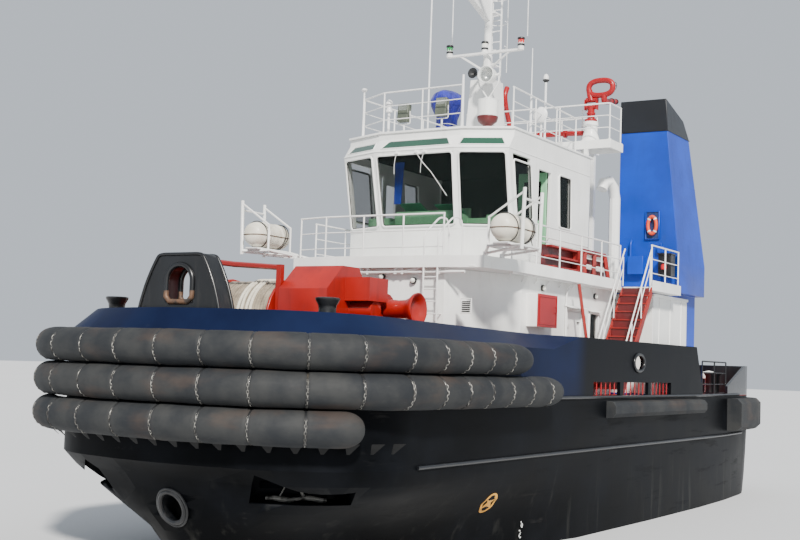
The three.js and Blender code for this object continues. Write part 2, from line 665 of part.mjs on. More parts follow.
function makeBridgeDeck() {
  const outline = (corners) => symmetric(corners);
  const inside = BRIDGE_PLAN.map(([x, y]) => [x - (x > 0 ? 40 : 0), y - 40]);
  inside[inside.length - 1][0] -= 100;
  const stairGap = bothSides((side) => slab(LANDING_FORE_X - 200, LANDING_FORE_X + 200,
    side * (BRIDGE_HALF_WIDTH + 40), side * (LANDING_HALF_WIDTH - 10), BRIDGE_DECK_Z,
    COAMING_Z + 100));
  const coaming = cut(prism(outline(BRIDGE_PLAN), BRIDGE_DECK_Z - 20, COAMING_Z),
    prism(outline(inside), BRIDGE_DECK_Z, COAMING_Z + 50), stairGap);
  const plate = join(prism(outline(BRIDGE_PLAN), BRIDGE_DECK_Z - 100, BRIDGE_DECK_Z), coaming);
  const vents = bothSides((side) => sweepPipe([
    [-2900, side * 2450, BRIDGE_DECK_Z - 50],
    [-2900, side * 2450, 9150], [-2820, side * 2430, 9450], [-2600, side * 2380, 9640],
    [-2350, side * 2320, 9560], [-2250, side * 2300, 9350]], 165, 10));
  addNode("bridge_deck", join(plate, ...vents), finish.white);
}

// Stairs from the main deck forward of each landing
function makeStairs() {
  const rise = BRIDGE_DECK_Z - DECK_Z;
  const run = 2100;
  const steps = 13;
  for (const [name, side] of DRIVES) {
    const inner = side * 3010;
    const outer = side * 3870;
    const topX = LANDING_FORE_X + GAP;
    const stringers = [inner, outer].map((y) => sidePrism([
      [topX, BRIDGE_DECK_Z - 260], [topX, BRIDGE_DECK_Z - 10],
      [topX + run + 60, DECK_Z + 230], [topX + run + 60, DECK_Z + GAP],
      [topX + run - 60, DECK_Z + GAP]], y - 25, y + 25));
    const treads = Array.from({ length: steps - 1 }, (_, i) => {
      const z = BRIDGE_DECK_Z - (rise * (i + 1)) / steps;
      const x = topX + (run * (i + 1)) / steps;
      return slab(x - 60, x + 120, inner, outer, z - 45, z - 10);
    });
    addNode(`bridge_stairs_${name}`, join(...stringers, ...treads), finish.stairRed);
  }
}

// Wheelhouse plan on one side, front to back: x, y at the sill, x, y at the knuckle
const HOUSE_RING = [
  [4250, 1140, 4640, 1200],
  [3720, 2440, 4140, 2460],
  [-1000, 2440, -1000, 2460],
];
const WHEELHOUSE_WALL = 90;
const BROW_RUN = 280;

function wheelhouseRing(z, inset) {
  const t = Math.min(1, Math.max(0, (z - SILL_Z) / (KNUCKLE_LINE_Z - SILL_Z)));
  return symmetric(HOUSE_RING.map(([x0, y0, x1, y1]) => [
    lerp(x0, x1, t) - (x0 > 0 ? inset : -inset), lerp(y0, y1, t) - inset])).map(
    ([x, y]) => [x, y, z]);
}

function roofRing(z, back, inset) {
  const shape = wheelhouseRing(KNUCKLE_LINE_Z, inset);
  return shape.map(([x, y]) => [x > 0 ? x - back : x, y, z]);
}

function makeWheelhouse() {
  const shell = loft([
    wheelhouseRing(BRIDGE_DECK_Z + GAP, 0), wheelhouseRing(SILL_Z, 0),
    wheelhouseRing(KNUCKLE_LINE_Z, 0), roofRing(BROW_TOP_Z, BROW_RUN, 0),
    roofRing(ROOF_Z - 60 - GAP, BROW_RUN, 0)]);
  const room = loft([
    wheelhouseRing(FLOOR_Z, WHEELHOUSE_WALL), wheelhouseRing(SILL_Z, WHEELHOUSE_WALL),
    wheelhouseRing(KNUCKLE_LINE_Z, WHEELHOUSE_WALL),
    roofRing(BROW_TOP_Z, BROW_RUN, WHEELHOUSE_WALL), roofRing(ROOF_Z, BROW_RUN, WHEELHOUSE_WALL)]);
  const hingeSeats = bothSides((side) => [7300, 9000].map((z) =>
    slab(HINGE_X - 70, HINGE_X - HINGE_RADIUS - GAP, side * 2280, side * 2400, z, z + 120)));
  addNode("wheelhouse", join(cut(shell, room, wheelhouseOpenings()), ...hingeSeats.flat()),
    finish.white);
}

// A window through the wall between two plan corners: share of its width from and to,
// height from and to. The wall leans between the sill and the knuckle.
function windowTool([xa, ya, xb, yb], [Xa, Ya, Xb, Yb], from, to, low, high, depth) {
  const out = new THREE.Vector2(yb - ya, -(xb - xa)).normalize();
  const point = (share, z, reach) => {
    const t = (z - SILL_Z) / (KNUCKLE_LINE_Z - SILL_Z);
    const x = lerp(lerp(xa, xb, share), lerp(Xa, Xb, share), t);
    const y = lerp(lerp(ya, yb, share), lerp(Ya, Yb, share), t);
    return [x + out.x * reach, y + out.y * reach, z];
  };
  const ringAt = (reach) => [
    point(from, low, reach), point(to, low, reach), point(to, high, reach),
    point(from, high, reach)];
  return loft([ringAt(-depth), ringAt(depth)]);
}

// Wheelhouse windows: wall, share of its width from and to, height from and to
const FRONT = [4250, -1140, 4250, 1140];
const FRONT_TOP = [4640, -1200, 4640, 1200];
const corner = (side) => [4250, side * 1140, 3720, side * 2440];
const cornerTop = (side) => [4640, side * 1200, 4140, side * 2460];
const sideWall = (side) => [3720, side * 2440, -1000, side * 2440];
const sideTop = (side) => [4140, side * 2460, -1000, side * 2460];
const WINDOW_LOW = 7620;
const WINDOW_HIGH = 9430;

function windowSet(depth) {
  const glassAt = (wall, top, from, to, low, high) =>
    windowTool(wall, top, from, to, low, high, depth);
  return [
    glassAt(FRONT, FRONT_TOP, 0.03, 0.97, WINDOW_LOW, WINDOW_HIGH),
    ...bothSides((side) => glassAt(corner(side), cornerTop(side), 0.06, 0.94,
      WINDOW_LOW, WINDOW_HIGH)),
    ...bothSides((side) => glassAt(sideWall(side), sideTop(side), 0.04, 0.24,
      WINDOW_LOW, WINDOW_HIGH)),
    ...bothSides((side) => glassAt(sideWall(side), sideTop(side), 0.58, 0.74,
      WINDOW_LOW + 250, WINDOW_HIGH - 150)),
  ];
}

const DOOR_FORE_X = 2350;
const DOOR_AFT_X = 1600;
const DOOR_TOP_Z = 9250;
const DOOR_LEAF = 810;
const HINGE_X = DOOR_AFT_X - 30;
const HINGE_Y = 2305;
const HINGE_RADIUS = 22;

function wheelhouseOpenings() {
  const doors = bothSides((side) => slab(DOOR_AFT_X, DOOR_FORE_X, side * 2150,
    side * 2750, FLOOR_Z, DOOR_TOP_Z));
  const aft = [[-1900, -900], [900, 1900], [-500, 500]].map(([from, to]) =>
    box(-1300, -700, from, to, 8000, 9300));
  return [...windowSet(300), ...doors, ...aft];
}

// Doors hinged at their aft jamb, opening inward: the port one stands open, the starboard one
// shut
function makeWheelhouseDoors() {
  for (const [name, side] of DRIVES) {
    const leaf = join(box(0, DOOR_LEAF, -20, 20, FLOOR_Z + 10, DOOR_TOP_Z + 30),
      bar([0, 0, FLOOR_Z + 10], [0, 0, DOOR_TOP_Z + 30], HINGE_RADIUS, 12));
    const pane = box(150, DOOR_LEAF - 150, -100, 100, 8000, 9050);
    addNode(`wheelhouse_door_${name}`, cut(leaf, pane).rotate([0, 0, side > 0 ? -90 : 0])
      .translate([HINGE_X, side * HINGE_Y, 0]), finish.white);
  }
}

// Tinted glass behind every window, one band round the inside of the wall
function makeGlazing() {
  const [outer, inner] = [WHEELHOUSE_WALL + GAP, WHEELHOUSE_WALL + 12];
  const band = (inset, low, high) => loft([
    wheelhouseRing(low, inset), wheelhouseRing(high, inset)]);
  const doors = bothSides((side) => slab(HINGE_X - 80, DOOR_FORE_X, side * 2150,
    side * 2750, FLOOR_Z, DOOR_TOP_Z));
  addNode("wheelhouse_glazing", cut(band(outer, SILL_Z + 20, 9500),
    band(inner, SILL_Z - 200, 9700), doors), finish.glass);
}

function makeRoof() {
  const edge = symmetric([[4400, 1210], [3900, 2490], [-1120, 2490]]);
  const plate = prism(edge, ROOF_Z - 60, ROOF_Z);
  addNode("wheelhouse_roof", join(plate, searchlightStand()), finish.white);
}

// Fire deck: a narrow wing on each side and a deeper middle behind the wheelhouse
const WING_FORE_X = -1000;
const WING_AFT_X = -1950;
const WING_HALF_WIDTH = 3050;

function makeFireDeck() {
  const deck = join(
    box(WING_AFT_X, WING_FORE_X, -WING_HALF_WIDTH, WING_HALF_WIDTH, FIRE_DECK_Z - 60, FIRE_DECK_Z),
    box(-3200, WING_AFT_X + 50, -1800, 1800, FIRE_DECK_Z - 60, FIRE_DECK_Z));
  const fascia = join(
    box(WING_FORE_X - 40, WING_FORE_X, -WING_HALF_WIDTH, WING_HALF_WIDTH, FIRE_DECK_Z - 240,
      FIRE_DECK_Z),
    ...bothSides((side) => slab(WING_AFT_X, WING_FORE_X, side * (WING_HALF_WIDTH - 40),
      side * WING_HALF_WIDTH, FIRE_DECK_Z - 240, FIRE_DECK_Z)),
    ...bothSides((side) => slab(WING_AFT_X, WING_AFT_X + 40, side * 1750,
      side * WING_HALF_WIDTH, FIRE_DECK_Z - 240, FIRE_DECK_Z)));
  const stanchions = bothSides((side) => slab(-3050, -2930, side * 1640, side * 1760,
    BRIDGE_DECK_Z + GAP, FIRE_DECK_Z - 50));
  const risers = bothSides((side) => slab(-1110, -1010, side * 2240, side * 2360,
    ROOF_Z + GAP, FIRE_DECK_Z - 50));
  const foot = turned([[0, FIRE_DECK_Z - 30], [290, FIRE_DECK_Z - 30], [260, FIRE_DECK_Z + 80],
    [150, FIRE_DECK_Z + 420], [170, FIRE_DECK_Z + 540], [170, MONITOR_FOOT_Z],
    [0, MONITOR_FOOT_Z]], 12, [MONITOR_X, MONITOR_Y, 0]);
  const covered = join(
    turned([[0, FIRE_DECK_Z - 30], [200, FIRE_DECK_Z - 30], [200, FIRE_DECK_Z + 60],
      [130, FIRE_DECK_Z + 61], [130, COVER_WAIST_Z + 200], [0, COVER_WAIST_Z + 200]], 10,
    [MONITOR_X, -COVER_Y, 0]),
    bar([MONITOR_X, -COVER_Y, COVER_WAIST_Z + 100],
      [MONITOR_X + 60, -COVER_Y, COVER_WAIST_Z + 1050], 150, 8));
  addNode("fire_deck", join(deck, fascia, ...stanchions, ...risers, foot, covered),
    finish.white);
}

const FUNNEL_BAND_Z = 11470;
const VENT_TOP_Z = 11200;

// Engine casing on each side: white block under the landing, and above it the tall funnel to
// port and the flat-topped air intake to starboard
function makeFunnels() {
  for (const [name, side] of [["funnel", 1], ["air_intake_casing", -1]]) {
    const under = BRIDGE_DECK_Z - 100 - GAP;
    const casing = slab(-7250, LANDING_AFT_X - GAP, side * 1500, side * 3500, DECK_Z + GAP, 6560);
    const trunk = (z, foreX, aftX, inner, outer) => [
      [foreX, side * inner, z], [foreX, side * outer, z],
      [aftX, side * outer, z], [aftX, side * inner, z]];
    const upper = side > 0
      ? [trunk(FUNNEL_BAND_Z, -4760, -6750, 1850, 3370),
        [[-4760, 1850, 12450], [-4760, 3300, 12450], [-6700, 3180, 12100], [-6700, 1850, 12100]]]
      : [trunk(VENT_TOP_Z, -4760, -6784, 1850, 3399)];
    const body = loft([
      trunk(6500, -4760, -7250, 1850, 3800),
      trunk(7450, -4760, -7250, 1850, 3800),
      ...upper]);
    const trunking = slab(-4800, -3400, side * 1500, side * 3500, DECK_Z + GAP, under);
    addNode(name, join(casing, body, trunking), finish.funnelBlue);
  }
}

// A bent pipe through a few points.
function sweepPipe(points, radius, sides, closed = false) {
  const path = points.map((p) => new THREE.Vector3(...p));
  const rings = path.map((p, i) => {
    const before = path[Math.max(0, i - 1)];
    const after = path[Math.min(path.length - 1, i + 1)];
    const along = after.clone().sub(before).normalize();
    const aside = Math.abs(along.y) < 0.9 ? new THREE.Vector3(0, 1, 0) : new THREE.Vector3(1, 0, 0);
    const u = aside.clone().cross(along).normalize();
    const w = along.clone().cross(u);
    return Array.from({ length: sides }, (_, k) => {
      const angle = (2 * Math.PI * k) / sides;
      return p.clone().addScaledVector(u, radius * Math.cos(angle))
        .addScaledVector(w, radius * Math.sin(angle)).toArray();
    });
  });
  return loft(rings, closed);
}

// Guard rail along a path of [x, y, z] corners: posts, a top rail and rows below it.
function railing(path, { height = RAIL_HEIGHT, rows = 3, spacing = 1500, sides = 4 } = {}) {
  const pieces = [];
  for (let i = 0; i + 1 < path.length; i++) {
    const [a, b] = [path[i], path[i + 1]];
    const length = Math.hypot(b[0] - a[0], b[1] - a[1]);
    const posts = Math.max(1, Math.round(length / spacing));
    for (let k = i === 0 ? 0 : 1; k <= posts; k++) {
      const at = a.map((value, j) => lerp(value, b[j], k / posts));
      pieces.push(bar([at[0], at[1], at[2] + GAP], [at[0], at[1], at[2] + height],
        RAIL_RADIUS, sides));
    }
    for (let row = 1; row <= rows; row++) {
      const lift = (height * row) / rows - (row === rows ? 2 : 0);
      const reach = row === rows ? RAIL_RADIUS : RAIL_RADIUS * 0.7;
      pieces.push(bar([a[0], a[1], a[2] + lift], [b[0], b[1], b[2] + lift], reach, sides));
    }
  }
  return join(pieces);
}

// Roof rail corners round the front and down the starboard side, and down the port side
const ROOF_RAIL = [[4240, 1170], [4140, -1260], [3580, -2240], [-850, -2060]];
const ROOF_RAIL_PORT = [[3530, 2240], [-850, 2060]];
const BRIDGE_RAIL_HEIGHT = 1200;

function makeRails() {
  const at = (corners, z) => corners.map(([x, y]) => [x, y, z]);
  const tall = { height: 1100, spacing: 1350 };
  addNode("roof_rail", railing(at(ROOF_RAIL, ROOF_Z), tall), finish.white);
  addNode("roof_rail_port", railing(at(ROOF_RAIL_PORT, ROOF_Z), tall), finish.white);
  addNode("fire_deck_rail", railing(at([[-1900, 2990], [-1040, 2990], [-1040, -1600]],
    FIRE_DECK_Z), { height: 1040, spacing: 900 }), finish.white);
  addNode("fire_deck_rail_aft", railing(at([[-2000, 1740], [-3140, 1740], [-3140, -1740],
    [-2000, -1740]], FIRE_DECK_Z), tall), finish.white);
  const b = BRIDGE_DECK_Z;
  addNode("bridge_front_rail", railing(at([[5960, 1740], [5960, -1700], [5740, -2620]], b),
    { height: BRIDGE_RAIL_HEIGHT, spacing: 1000 }), finish.white);
  for (const [name, side] of DRIVES) {
    addNode(`raft_cradle_${name}`, raftCradle(side), finish.white);
    addNode(`bridge_side_rail_${name}`, railing([[4700, side * 2890, b],
      [LANDING_FORE_X - 60, side * 2890, b]], { height: BRIDGE_RAIL_HEIGHT }), finish.white);
    addNode(`landing_rail_${name}`, railing([[LANDING_FORE_X - 60, side * 3830, b],
      [LANDING_AFT_X + 60, side * 3830, b]], { height: BRIDGE_RAIL_HEIGHT }), finish.white);
  }
}

const RAFT_PLACE = [5950, 3540, 7260];
const RAFT_RADIUS = 340;

function makeRafts() {
  for (const [name, side] of DRIVES) {
    const [x, y, z] = RAFT_PLACE;
    const canister = turned([[0, -725], [120, -715], [250, -640], [325, -480], [RAFT_RADIUS, -200],
      [RAFT_RADIUS, 200], [325, 480], [250, 640], [120, 715], [0, 725]], 16,
    [x, side * y, z], "x");
    addNode(`life_raft_${name}`, canister, finish.raft);
  }
}

// Frame of slanted tubes that carries a raft off the corner of the bridge deck
const CRADLE_STATIONS = [[6400, 5780, 2750], [5480, 5100, 2840]];

function raftCradle(side) {
  const [, y, z] = RAFT_PLACE;
  const under = z - RAFT_RADIUS - GAP;
  const beam = under - 70;
  const [inner, outer] = [y - RAFT_RADIUS - 60, y + RAFT_RADIUS + 110];
  const pieces = CRADLE_STATIONS.flatMap(([x, footX, footY]) => [
    box(footX - 60, footX + 60, footY - 30, footY + 50, COAMING_Z + GAP, COAMING_Z + 90),
    bar([x, outer, beam - 90], [x, outer + 40, 8150], 45, 8),
    bar([x + 3, inner - 20, beam], [x - 3, outer + 20, beam], 40, 6),
    bar([x + 2, inner, beam - 11], [x - 2, inner + 7, 7520], 28, 5),
    bar([x + 4, inner - 12, 7488], [x - 1, outer + 31, 8066], 26, 5),
    bar([footX + 5, footY + 9, COAMING_Z + 61], [x - 5, inner + 3, beam + 4], 38, 7),
    bar([footX - 6, footY + 14, COAMING_Z + 47], [x + 6, outer - 4, beam - 31], 33, 5),
  ]);
  const [fore, aft] = CRADLE_STATIONS.map(([x]) => x);
  const frame = join(pieces, bar([fore + 21, outer + 27, 7903], [aft - 19, outer + 31, 7897], 27, 5),
    bar([fore + 37, inner + 6, beam + 3], [aft - 41, inner - 2, beam - 3], 36, 6),
    bar([fore + 33, outer - 9, beam - 5], [aft - 37, outer + 5, beam + 2], 34, 6),
    box(aft - 160, fore + 180, y - 190, y + 190, under - 45, under));
  return side > 0 ? frame : frame.scale([1, -1, 1]);
}

// Radars: name, bracket top, half length of the scanner, reach of the bracket from the mast
const RADARS = [["lower", 14420, 1100, 1320], ["upper", 15570, 800, 1000]];

function makeMast() {
  const trunk = loft([
    [[300, -430, ROOF_Z + GAP], [1200, -430, ROOF_Z + GAP], [1200, 430, ROOF_Z + GAP],
      [300, 430, ROOF_Z + GAP]],
    [[400, -330, 12100], [1100, -330, 12100], [1100, 330, 12100], [400, 330, 12100]]]);
  const pole = bar([MAST_X, 0, 11500], [MAST_X, 0, 16900], 125, 12, 95);
  const arm = bar([MAST_X + 180, -1180, 12880], [MAST_X + 180, 1180, 12880], 45, 6);
  const braces = bothSides((side) =>
    bar([MAST_X + 100, side * 60, 12400], [MAST_X + 180, side * 800, 12880], 32, 5));
  const lights = [-1130, 0, 1130].map((y) =>
    turned([[0, 12860], [90, 12860], [90, 13120], [0, 13120]], 8, [MAST_X + 180, y, 0]));
  const armMid = box(MAST_X, MAST_X + 300, -60, 60, 12820, 12900);
  const brackets = RADARS.map(([, z, , reach]) => sidePrism([[MAST_X, z - 620],
    [MAST_X + reach + 150, z - 110], [MAST_X + reach + 150, z], [MAST_X, z]], -85, 85));
  const yard = bar([MAST_X - 60, -1250, 14700], [MAST_X - 60, 1250, 14700], 35, 6);
  const gearboxes = RADARS.map(([, z, , reach]) => turned([[0, z - 20], [170, z - 20],
    [170, z + 260], [120, z + 330], [0, z + 330]], 10, [MAST_X + reach, 0, 0]));
  const rungs = Array.from({ length: 12 }, (_, i) =>
    box(MAST_X - 432, MAST_X - 408, -190, 190, 12400 + i * 310, 12424 + i * 310));
  const rails = bothSides((side) => slab(MAST_X - 440, MAST_X - 400, side * 170, side * 210,
    12150, 16050));
  const ties = [12600, 14100, 15900].map((z) =>
    box(MAST_X - 430, MAST_X - 20, -180, 180, z - 20, z + 20));
  addNode("mast", join(trunk, pole, arm, ...braces, ...lights, armMid, ...brackets,
    yard, ...gearboxes, ...rungs, ...rails, ...ties), finish.white);
  for (const [name, z, half, reach] of RADARS) {
    const x = MAST_X + reach;
    addNode(`radar_scanner_${name}`, join(box(x - 60, x + 60, -half, half, z + 380, z + 480),
      bar([x, 0, z + 330 + GAP], [x, 0, z + 400], 60, 8)), finish.white);
  }
}

const LIGHT_X = 1500;
const LIGHT_Y = 450;
const LIGHT_Z = 12080;
const LIGHT_STAND_Z = 11400;
const LAMP_PIN_HALF = 300;

function searchlightStand() {
  return turned([[0, ROOF_Z - 30], [110, ROOF_Z - 30], [110, 10700], [250, 10800], [280, 10900],
    [280, LIGHT_STAND_Z], [0, LIGHT_STAND_Z]], 14, [LIGHT_X, LIGHT_Y, 0]);
}

function makeSearchlight() {
  const yoke = join(
    turned([[0, LIGHT_STAND_Z + GAP], [130, LIGHT_STAND_Z + GAP], [130, LIGHT_STAND_Z + 80],
      [0, LIGHT_STAND_Z + 80]], 12, [LIGHT_X, LIGHT_Y, 0]),
    ...bothSides((side) => {
      const outer = LIGHT_Y + side * (LAMP_PIN_HALF + 15);
      return join(
        bar([LIGHT_X, LIGHT_Y, LIGHT_STAND_Z + 50], [LIGHT_X, outer, LIGHT_Z - 210], 30, 6),
        box(LIGHT_X - 35, LIGHT_X + 35, outer - 15, outer + 15, LIGHT_Z - 240, LIGHT_Z + 50));
    }));
  addNode("searchlight_yoke", yoke, finish.white);
  const drum = turned([[0, -240], [150, -225], [215, -90], [225, 0], [240, 210], [222, 210],
    [200, 0], [0, -60]], 18, [LIGHT_X, LIGHT_Y, LIGHT_Z], "x");
  const pins = bar([LIGHT_X, LIGHT_Y + GAP - LAMP_PIN_HALF, LIGHT_Z],
    [LIGHT_X, LIGHT_Y + LAMP_PIN_HALF - GAP, LIGHT_Z], 28, 8);
  const bowl = turned([[0, -180], [170, -50], [170, 40], [0, 20]], 12,
    [LIGHT_X - 20, LIGHT_Y, LIGHT_Z], "x");
  addNode("searchlight_lamp", join(drum, cut(pins,
    box(LIGHT_X - 100, LIGHT_X + 100, LIGHT_Y - 215, LIGHT_Y + 215, LIGHT_Z - 100,
      LIGHT_Z + 100)), bowl), finish.white);
}

const MONITOR_FOOT_Z = FIRE_DECK_Z + 620;
const PIVOT_Z = 11640;
const TRUNNION_HALF = 150;
const COVER_WAIST_Z = 11000;

function makeMonitors() {
  const [x, y] = [MONITOR_X, MONITOR_Y];
  const train = join(
    turned([[0, MONITOR_FOOT_Z + GAP], [170, MONITOR_FOOT_Z + GAP], [170, MONITOR_FOOT_Z + 60],
      [95, MONITOR_FOOT_Z + 61], [95, PIVOT_Z + 60], [0, PIVOT_Z + 60]], 12, [x, y, 0]),
    bar([x, y - TRUNNION_HALF + GAP, PIVOT_Z], [x, y + TRUNNION_HALF - GAP, PIVOT_Z], 80, 10));
  addNode("monitor_body_port", train, finish.monitorRed);
  const [loopY, loopZ, loopWide, loopHigh, tube] = [2530, 12170, 370, 215, 76];
  const loop = loft(Array.from({ length: 16 }, (_, i) => {
    const angle = (2 * Math.PI * i) / 16;
    const [c, s] = [Math.cos(angle), Math.sin(angle)];
    return Array.from({ length: 8 }, (_, k) => {
      const around = (2 * Math.PI * k) / 8;
      const [across, reach] = [tube * Math.sin(around), tube * Math.cos(around)];
      return [x + across, loopY + (loopWide + reach) * c, loopZ + (loopHigh + reach) * s];
    });
  }), true);
  const cheeks = bothSides((side) => slab(x - 80, x + 80, y + side * TRUNNION_HALF,
    y + side * (TRUNNION_HALF + 50), PIVOT_Z - 90, PIVOT_Z + 200));
  const bridge = box(x - 80, x + 80, y - TRUNNION_HALF - 50, y + TRUNNION_HALF + 50,
    PIVOT_Z + 150, PIVOT_Z + 210);
  const neck = bar([x, y, PIVOT_Z + 180], [x, loopY - loopWide + 20, loopZ - 60], 85, 10);
  const drop = bar([x, 2640, loopZ - loopHigh + 20], [x, 2640, PIVOT_Z + 80], 85, 10);
  const barrel = bar([x + 150, 2640, PIVOT_Z + 110], [x - 930, 2640, PIVOT_Z + 300], 90, 12, 78);
  addNode("monitor_barrel_port", join(loop, ...cheeks, bridge, neck, drop, barrel),
    finish.monitorRed);
  // Cover over the starboard monitor: half length, half width, height
  const skin = [[420, 430, FIRE_DECK_Z + GAP], [360, 350, COVER_WAIST_Z + 100],
    [420, 380, COVER_WAIST_Z + 620], [520, 430, COVER_WAIST_Z + 1100],
    [430, 330, COVER_WAIST_Z + 1420], [180, 140, COVER_WAIST_Z + 1520]];
  const hollow = [[290, 280, FIRE_DECK_Z - 50], [270, 260, COVER_WAIST_Z + 1150]];
  const oval = ([a, b, z]) => Array.from({ length: 14 }, (_, i) => {
    const angle = (2 * Math.PI * i) / 14;
    return [x + 55 + a * Math.cos(angle), -COVER_Y + b * Math.sin(angle), z];
  });
  addNode("monitor_cover", cut(loft(skin.map(oval)), loft(hollow.map(oval))), finish.tarp);
}

function makeConsoles() {
  const desk = sidePrism([[3250, FLOOR_Z + GAP], [3250, 7950], [3900, 8050], [3980, 7900],
    [3800, FLOOR_Z + GAP]], -900, 900);
  const wings = bothSides((side) => box(2600, 3300, side * 1800 - 350, side * 1800 + 350,
    FLOOR_Z + GAP, 7980));
  const seat = join(
    bar([2200, 0, FLOOR_Z + GAP], [2200, 0, 7600], 60, 8),
    box(1950, 2450, -260, 260, 7560, 7680),
    box(1900, 2010, -250, 250, 7640, 8350));
  const plinth = box(1940, 3260, -260, 260, FLOOR_Z + GAP, FLOOR_Z + 60);
  addNode("helm_console", join(desk, plinth, seat, ...wings.map((wing) =>
    join(wing, box(3000, 3300, -1500, 1500, FLOOR_Z + GAP, 7900)))), finish.mint);
}

function makeAftDeckGear() {
  const postTop = DECK_Z + 900;
  addNode("tow_post", turned([[0, DECK_Z + GAP], [420, DECK_Z + GAP], [420, DECK_Z + 60],
    [220, DECK_Z + 61], [220, postTop], [0, postTop]], 12, [HOOK_X, 0, 0]), finish.hullBlack);
  const base = postTop + GAP;
  const hook = join(
    box(HOOK_X - 700, HOOK_X + 300, -90, 90, base, base + 140),
    turned([[0, base], [240, base], [240, base + 180], [0, base + 180]], 12, [HOOK_X, 0, 0]),
    box(HOOK_X - 880, HOOK_X - 580, -90, 90, base, base + 340),
    box(HOOK_X - 880, HOOK_X - 450, -90, 90, base + 280, base + 360));
  addNode("tow_hook", hook, finish.winchRed);
  const foot = DECK_Z + GAP;
  addNode("capstan", turned([[0, foot], [380, foot], [380, foot + 150], [300, foot + 200],
    [200, foot + 420], [190, foot + 650], [280, foot + 800], [280, foot + 850],
    [0, foot + 850]], 14, [CAPSTAN_X, 0, 0]), finish.winchRed);
}

makeHull();
makeBulwark();
makeAftBulwark();
makeBowFenders();
makeSternFender();
makeSideFenders();
makeDrives();
makeBowThruster();
makeStaple();
makeWinch();
makeDeckhouse();
makeCabinetDoors();
makeBridgeDeck();
makeStairs();
makeWheelhouse();
makeWheelhouseDoors();
makeGlazing();
makeRoof();
makeFireDeck();
makeFunnels();
makeRails();
makeRafts();
makeMast();
makeSearchlight();
makeMonitors();
makeConsoles();
makeAftDeckGear();

export default tug;
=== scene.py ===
"""Looks of a ship-handling harbour tug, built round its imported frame.

Metres, +X towards the bow, +Y to port, +Z up.
"""

import json
import logging
import math
from contextlib import contextmanager
from dataclasses import dataclass
from enum import Enum
from functools import lru_cache
from typing import Iterable, Iterator, Sequence

import bmesh
import bpy
import numpy as np
from mathutils import Matrix, Vector
from mathutils.bvhtree import BVHTree

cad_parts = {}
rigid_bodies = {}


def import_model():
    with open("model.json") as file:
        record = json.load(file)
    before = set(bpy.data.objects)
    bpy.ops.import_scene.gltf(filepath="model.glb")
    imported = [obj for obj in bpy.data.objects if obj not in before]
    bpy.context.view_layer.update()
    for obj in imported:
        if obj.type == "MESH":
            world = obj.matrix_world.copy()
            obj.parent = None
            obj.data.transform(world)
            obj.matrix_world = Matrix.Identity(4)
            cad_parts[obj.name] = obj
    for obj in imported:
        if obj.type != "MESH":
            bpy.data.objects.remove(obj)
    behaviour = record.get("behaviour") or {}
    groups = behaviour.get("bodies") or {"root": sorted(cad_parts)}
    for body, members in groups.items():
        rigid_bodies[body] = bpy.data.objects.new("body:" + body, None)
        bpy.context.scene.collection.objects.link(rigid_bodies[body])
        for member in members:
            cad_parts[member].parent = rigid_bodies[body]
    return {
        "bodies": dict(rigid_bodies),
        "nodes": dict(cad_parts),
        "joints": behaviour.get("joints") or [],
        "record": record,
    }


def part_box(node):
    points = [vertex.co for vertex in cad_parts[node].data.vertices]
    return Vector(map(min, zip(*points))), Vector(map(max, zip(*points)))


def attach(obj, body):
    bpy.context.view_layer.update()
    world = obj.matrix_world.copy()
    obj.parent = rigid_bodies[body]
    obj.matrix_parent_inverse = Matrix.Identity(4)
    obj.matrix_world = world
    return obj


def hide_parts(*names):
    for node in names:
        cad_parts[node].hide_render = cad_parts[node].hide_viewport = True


LOG = logging.getLogger("tug")
Array = np.ndarray
Colour = str
Point = tuple[float, float, float]
Points = Sequence[Sequence[float]]
SIDES = {"port": 1.0, "starboard": -1.0}
X, Y, Z = np.eye(3)
FRAME_NODES: dict[str, bpy.types.Object] = {}


class Axis(Enum):
    """Axis that a turned shape stands on, as the order in which its own x, y and z are read."""

    X = (2, 0, 1)
    Y = (1, 2, 0)
    Z = (0, 1, 2)


class Slot(Enum):
    """Material slots of the record that new pieces take their finish from."""

    HULL = "hull_black"
    NAVY = "navy_paint"
    WHITE = "white_paint"
    WINCH = "winch_red"
    STAIR = "stair_red"
    FIRE = "fire_red"
    BLUE = "funnel_blue"
    RUBBER = "fender_rubber"
    BRONZE = "bronze"
    GLASS = "window_glass"
    RAFT = "raft_shell"
    ROPE = "rope"
    CLOTH = "blue_cloth"
    MINT = "mint_paint"


def unit(vectors: Array) -> Array:
    """Vectors divided by their lengths, row by row."""
    return vectors / np.maximum(np.linalg.norm(vectors, axis=-1, keepdims=True), 1e-9)


def line(a: Sequence[float], b: Sequence[float], steps: int) -> Array:
    """Points spread evenly from a to b, both ends included."""
    return np.linspace(np.asarray(a, float), np.asarray(b, float), steps)


def oval(centre: Sequence[float], across: Sequence[float], up: Sequence[float],
         angles: int | Array) -> Array:
    """Points centre + cos t across + sin t up.

    Args:
        centre: middle of the oval.
        across: from the middle to the point at t = 0.
        up: from the middle to the point at a quarter turn.
        angles: the angles t, or how many of them go once round.

    Returns:
        The points in order.
    """
    if isinstance(angles, int):
        angles = np.linspace(0, 2 * np.pi, angles, endpoint=False)
    t = angles[:, None]
    return np.asarray(centre) + np.cos(t) * np.asarray(across) + np.sin(t) * np.asarray(up)


def rectangle(low: Sequence[float], high: Sequence[float], along: int) -> Array:
    """Corners between two opposite ones, of a rectangle that runs level along one axis."""
    corners = np.array([low, low, high, high], float)
    corners[[1, 3], along] = corners[[2, 0], along]
    return corners


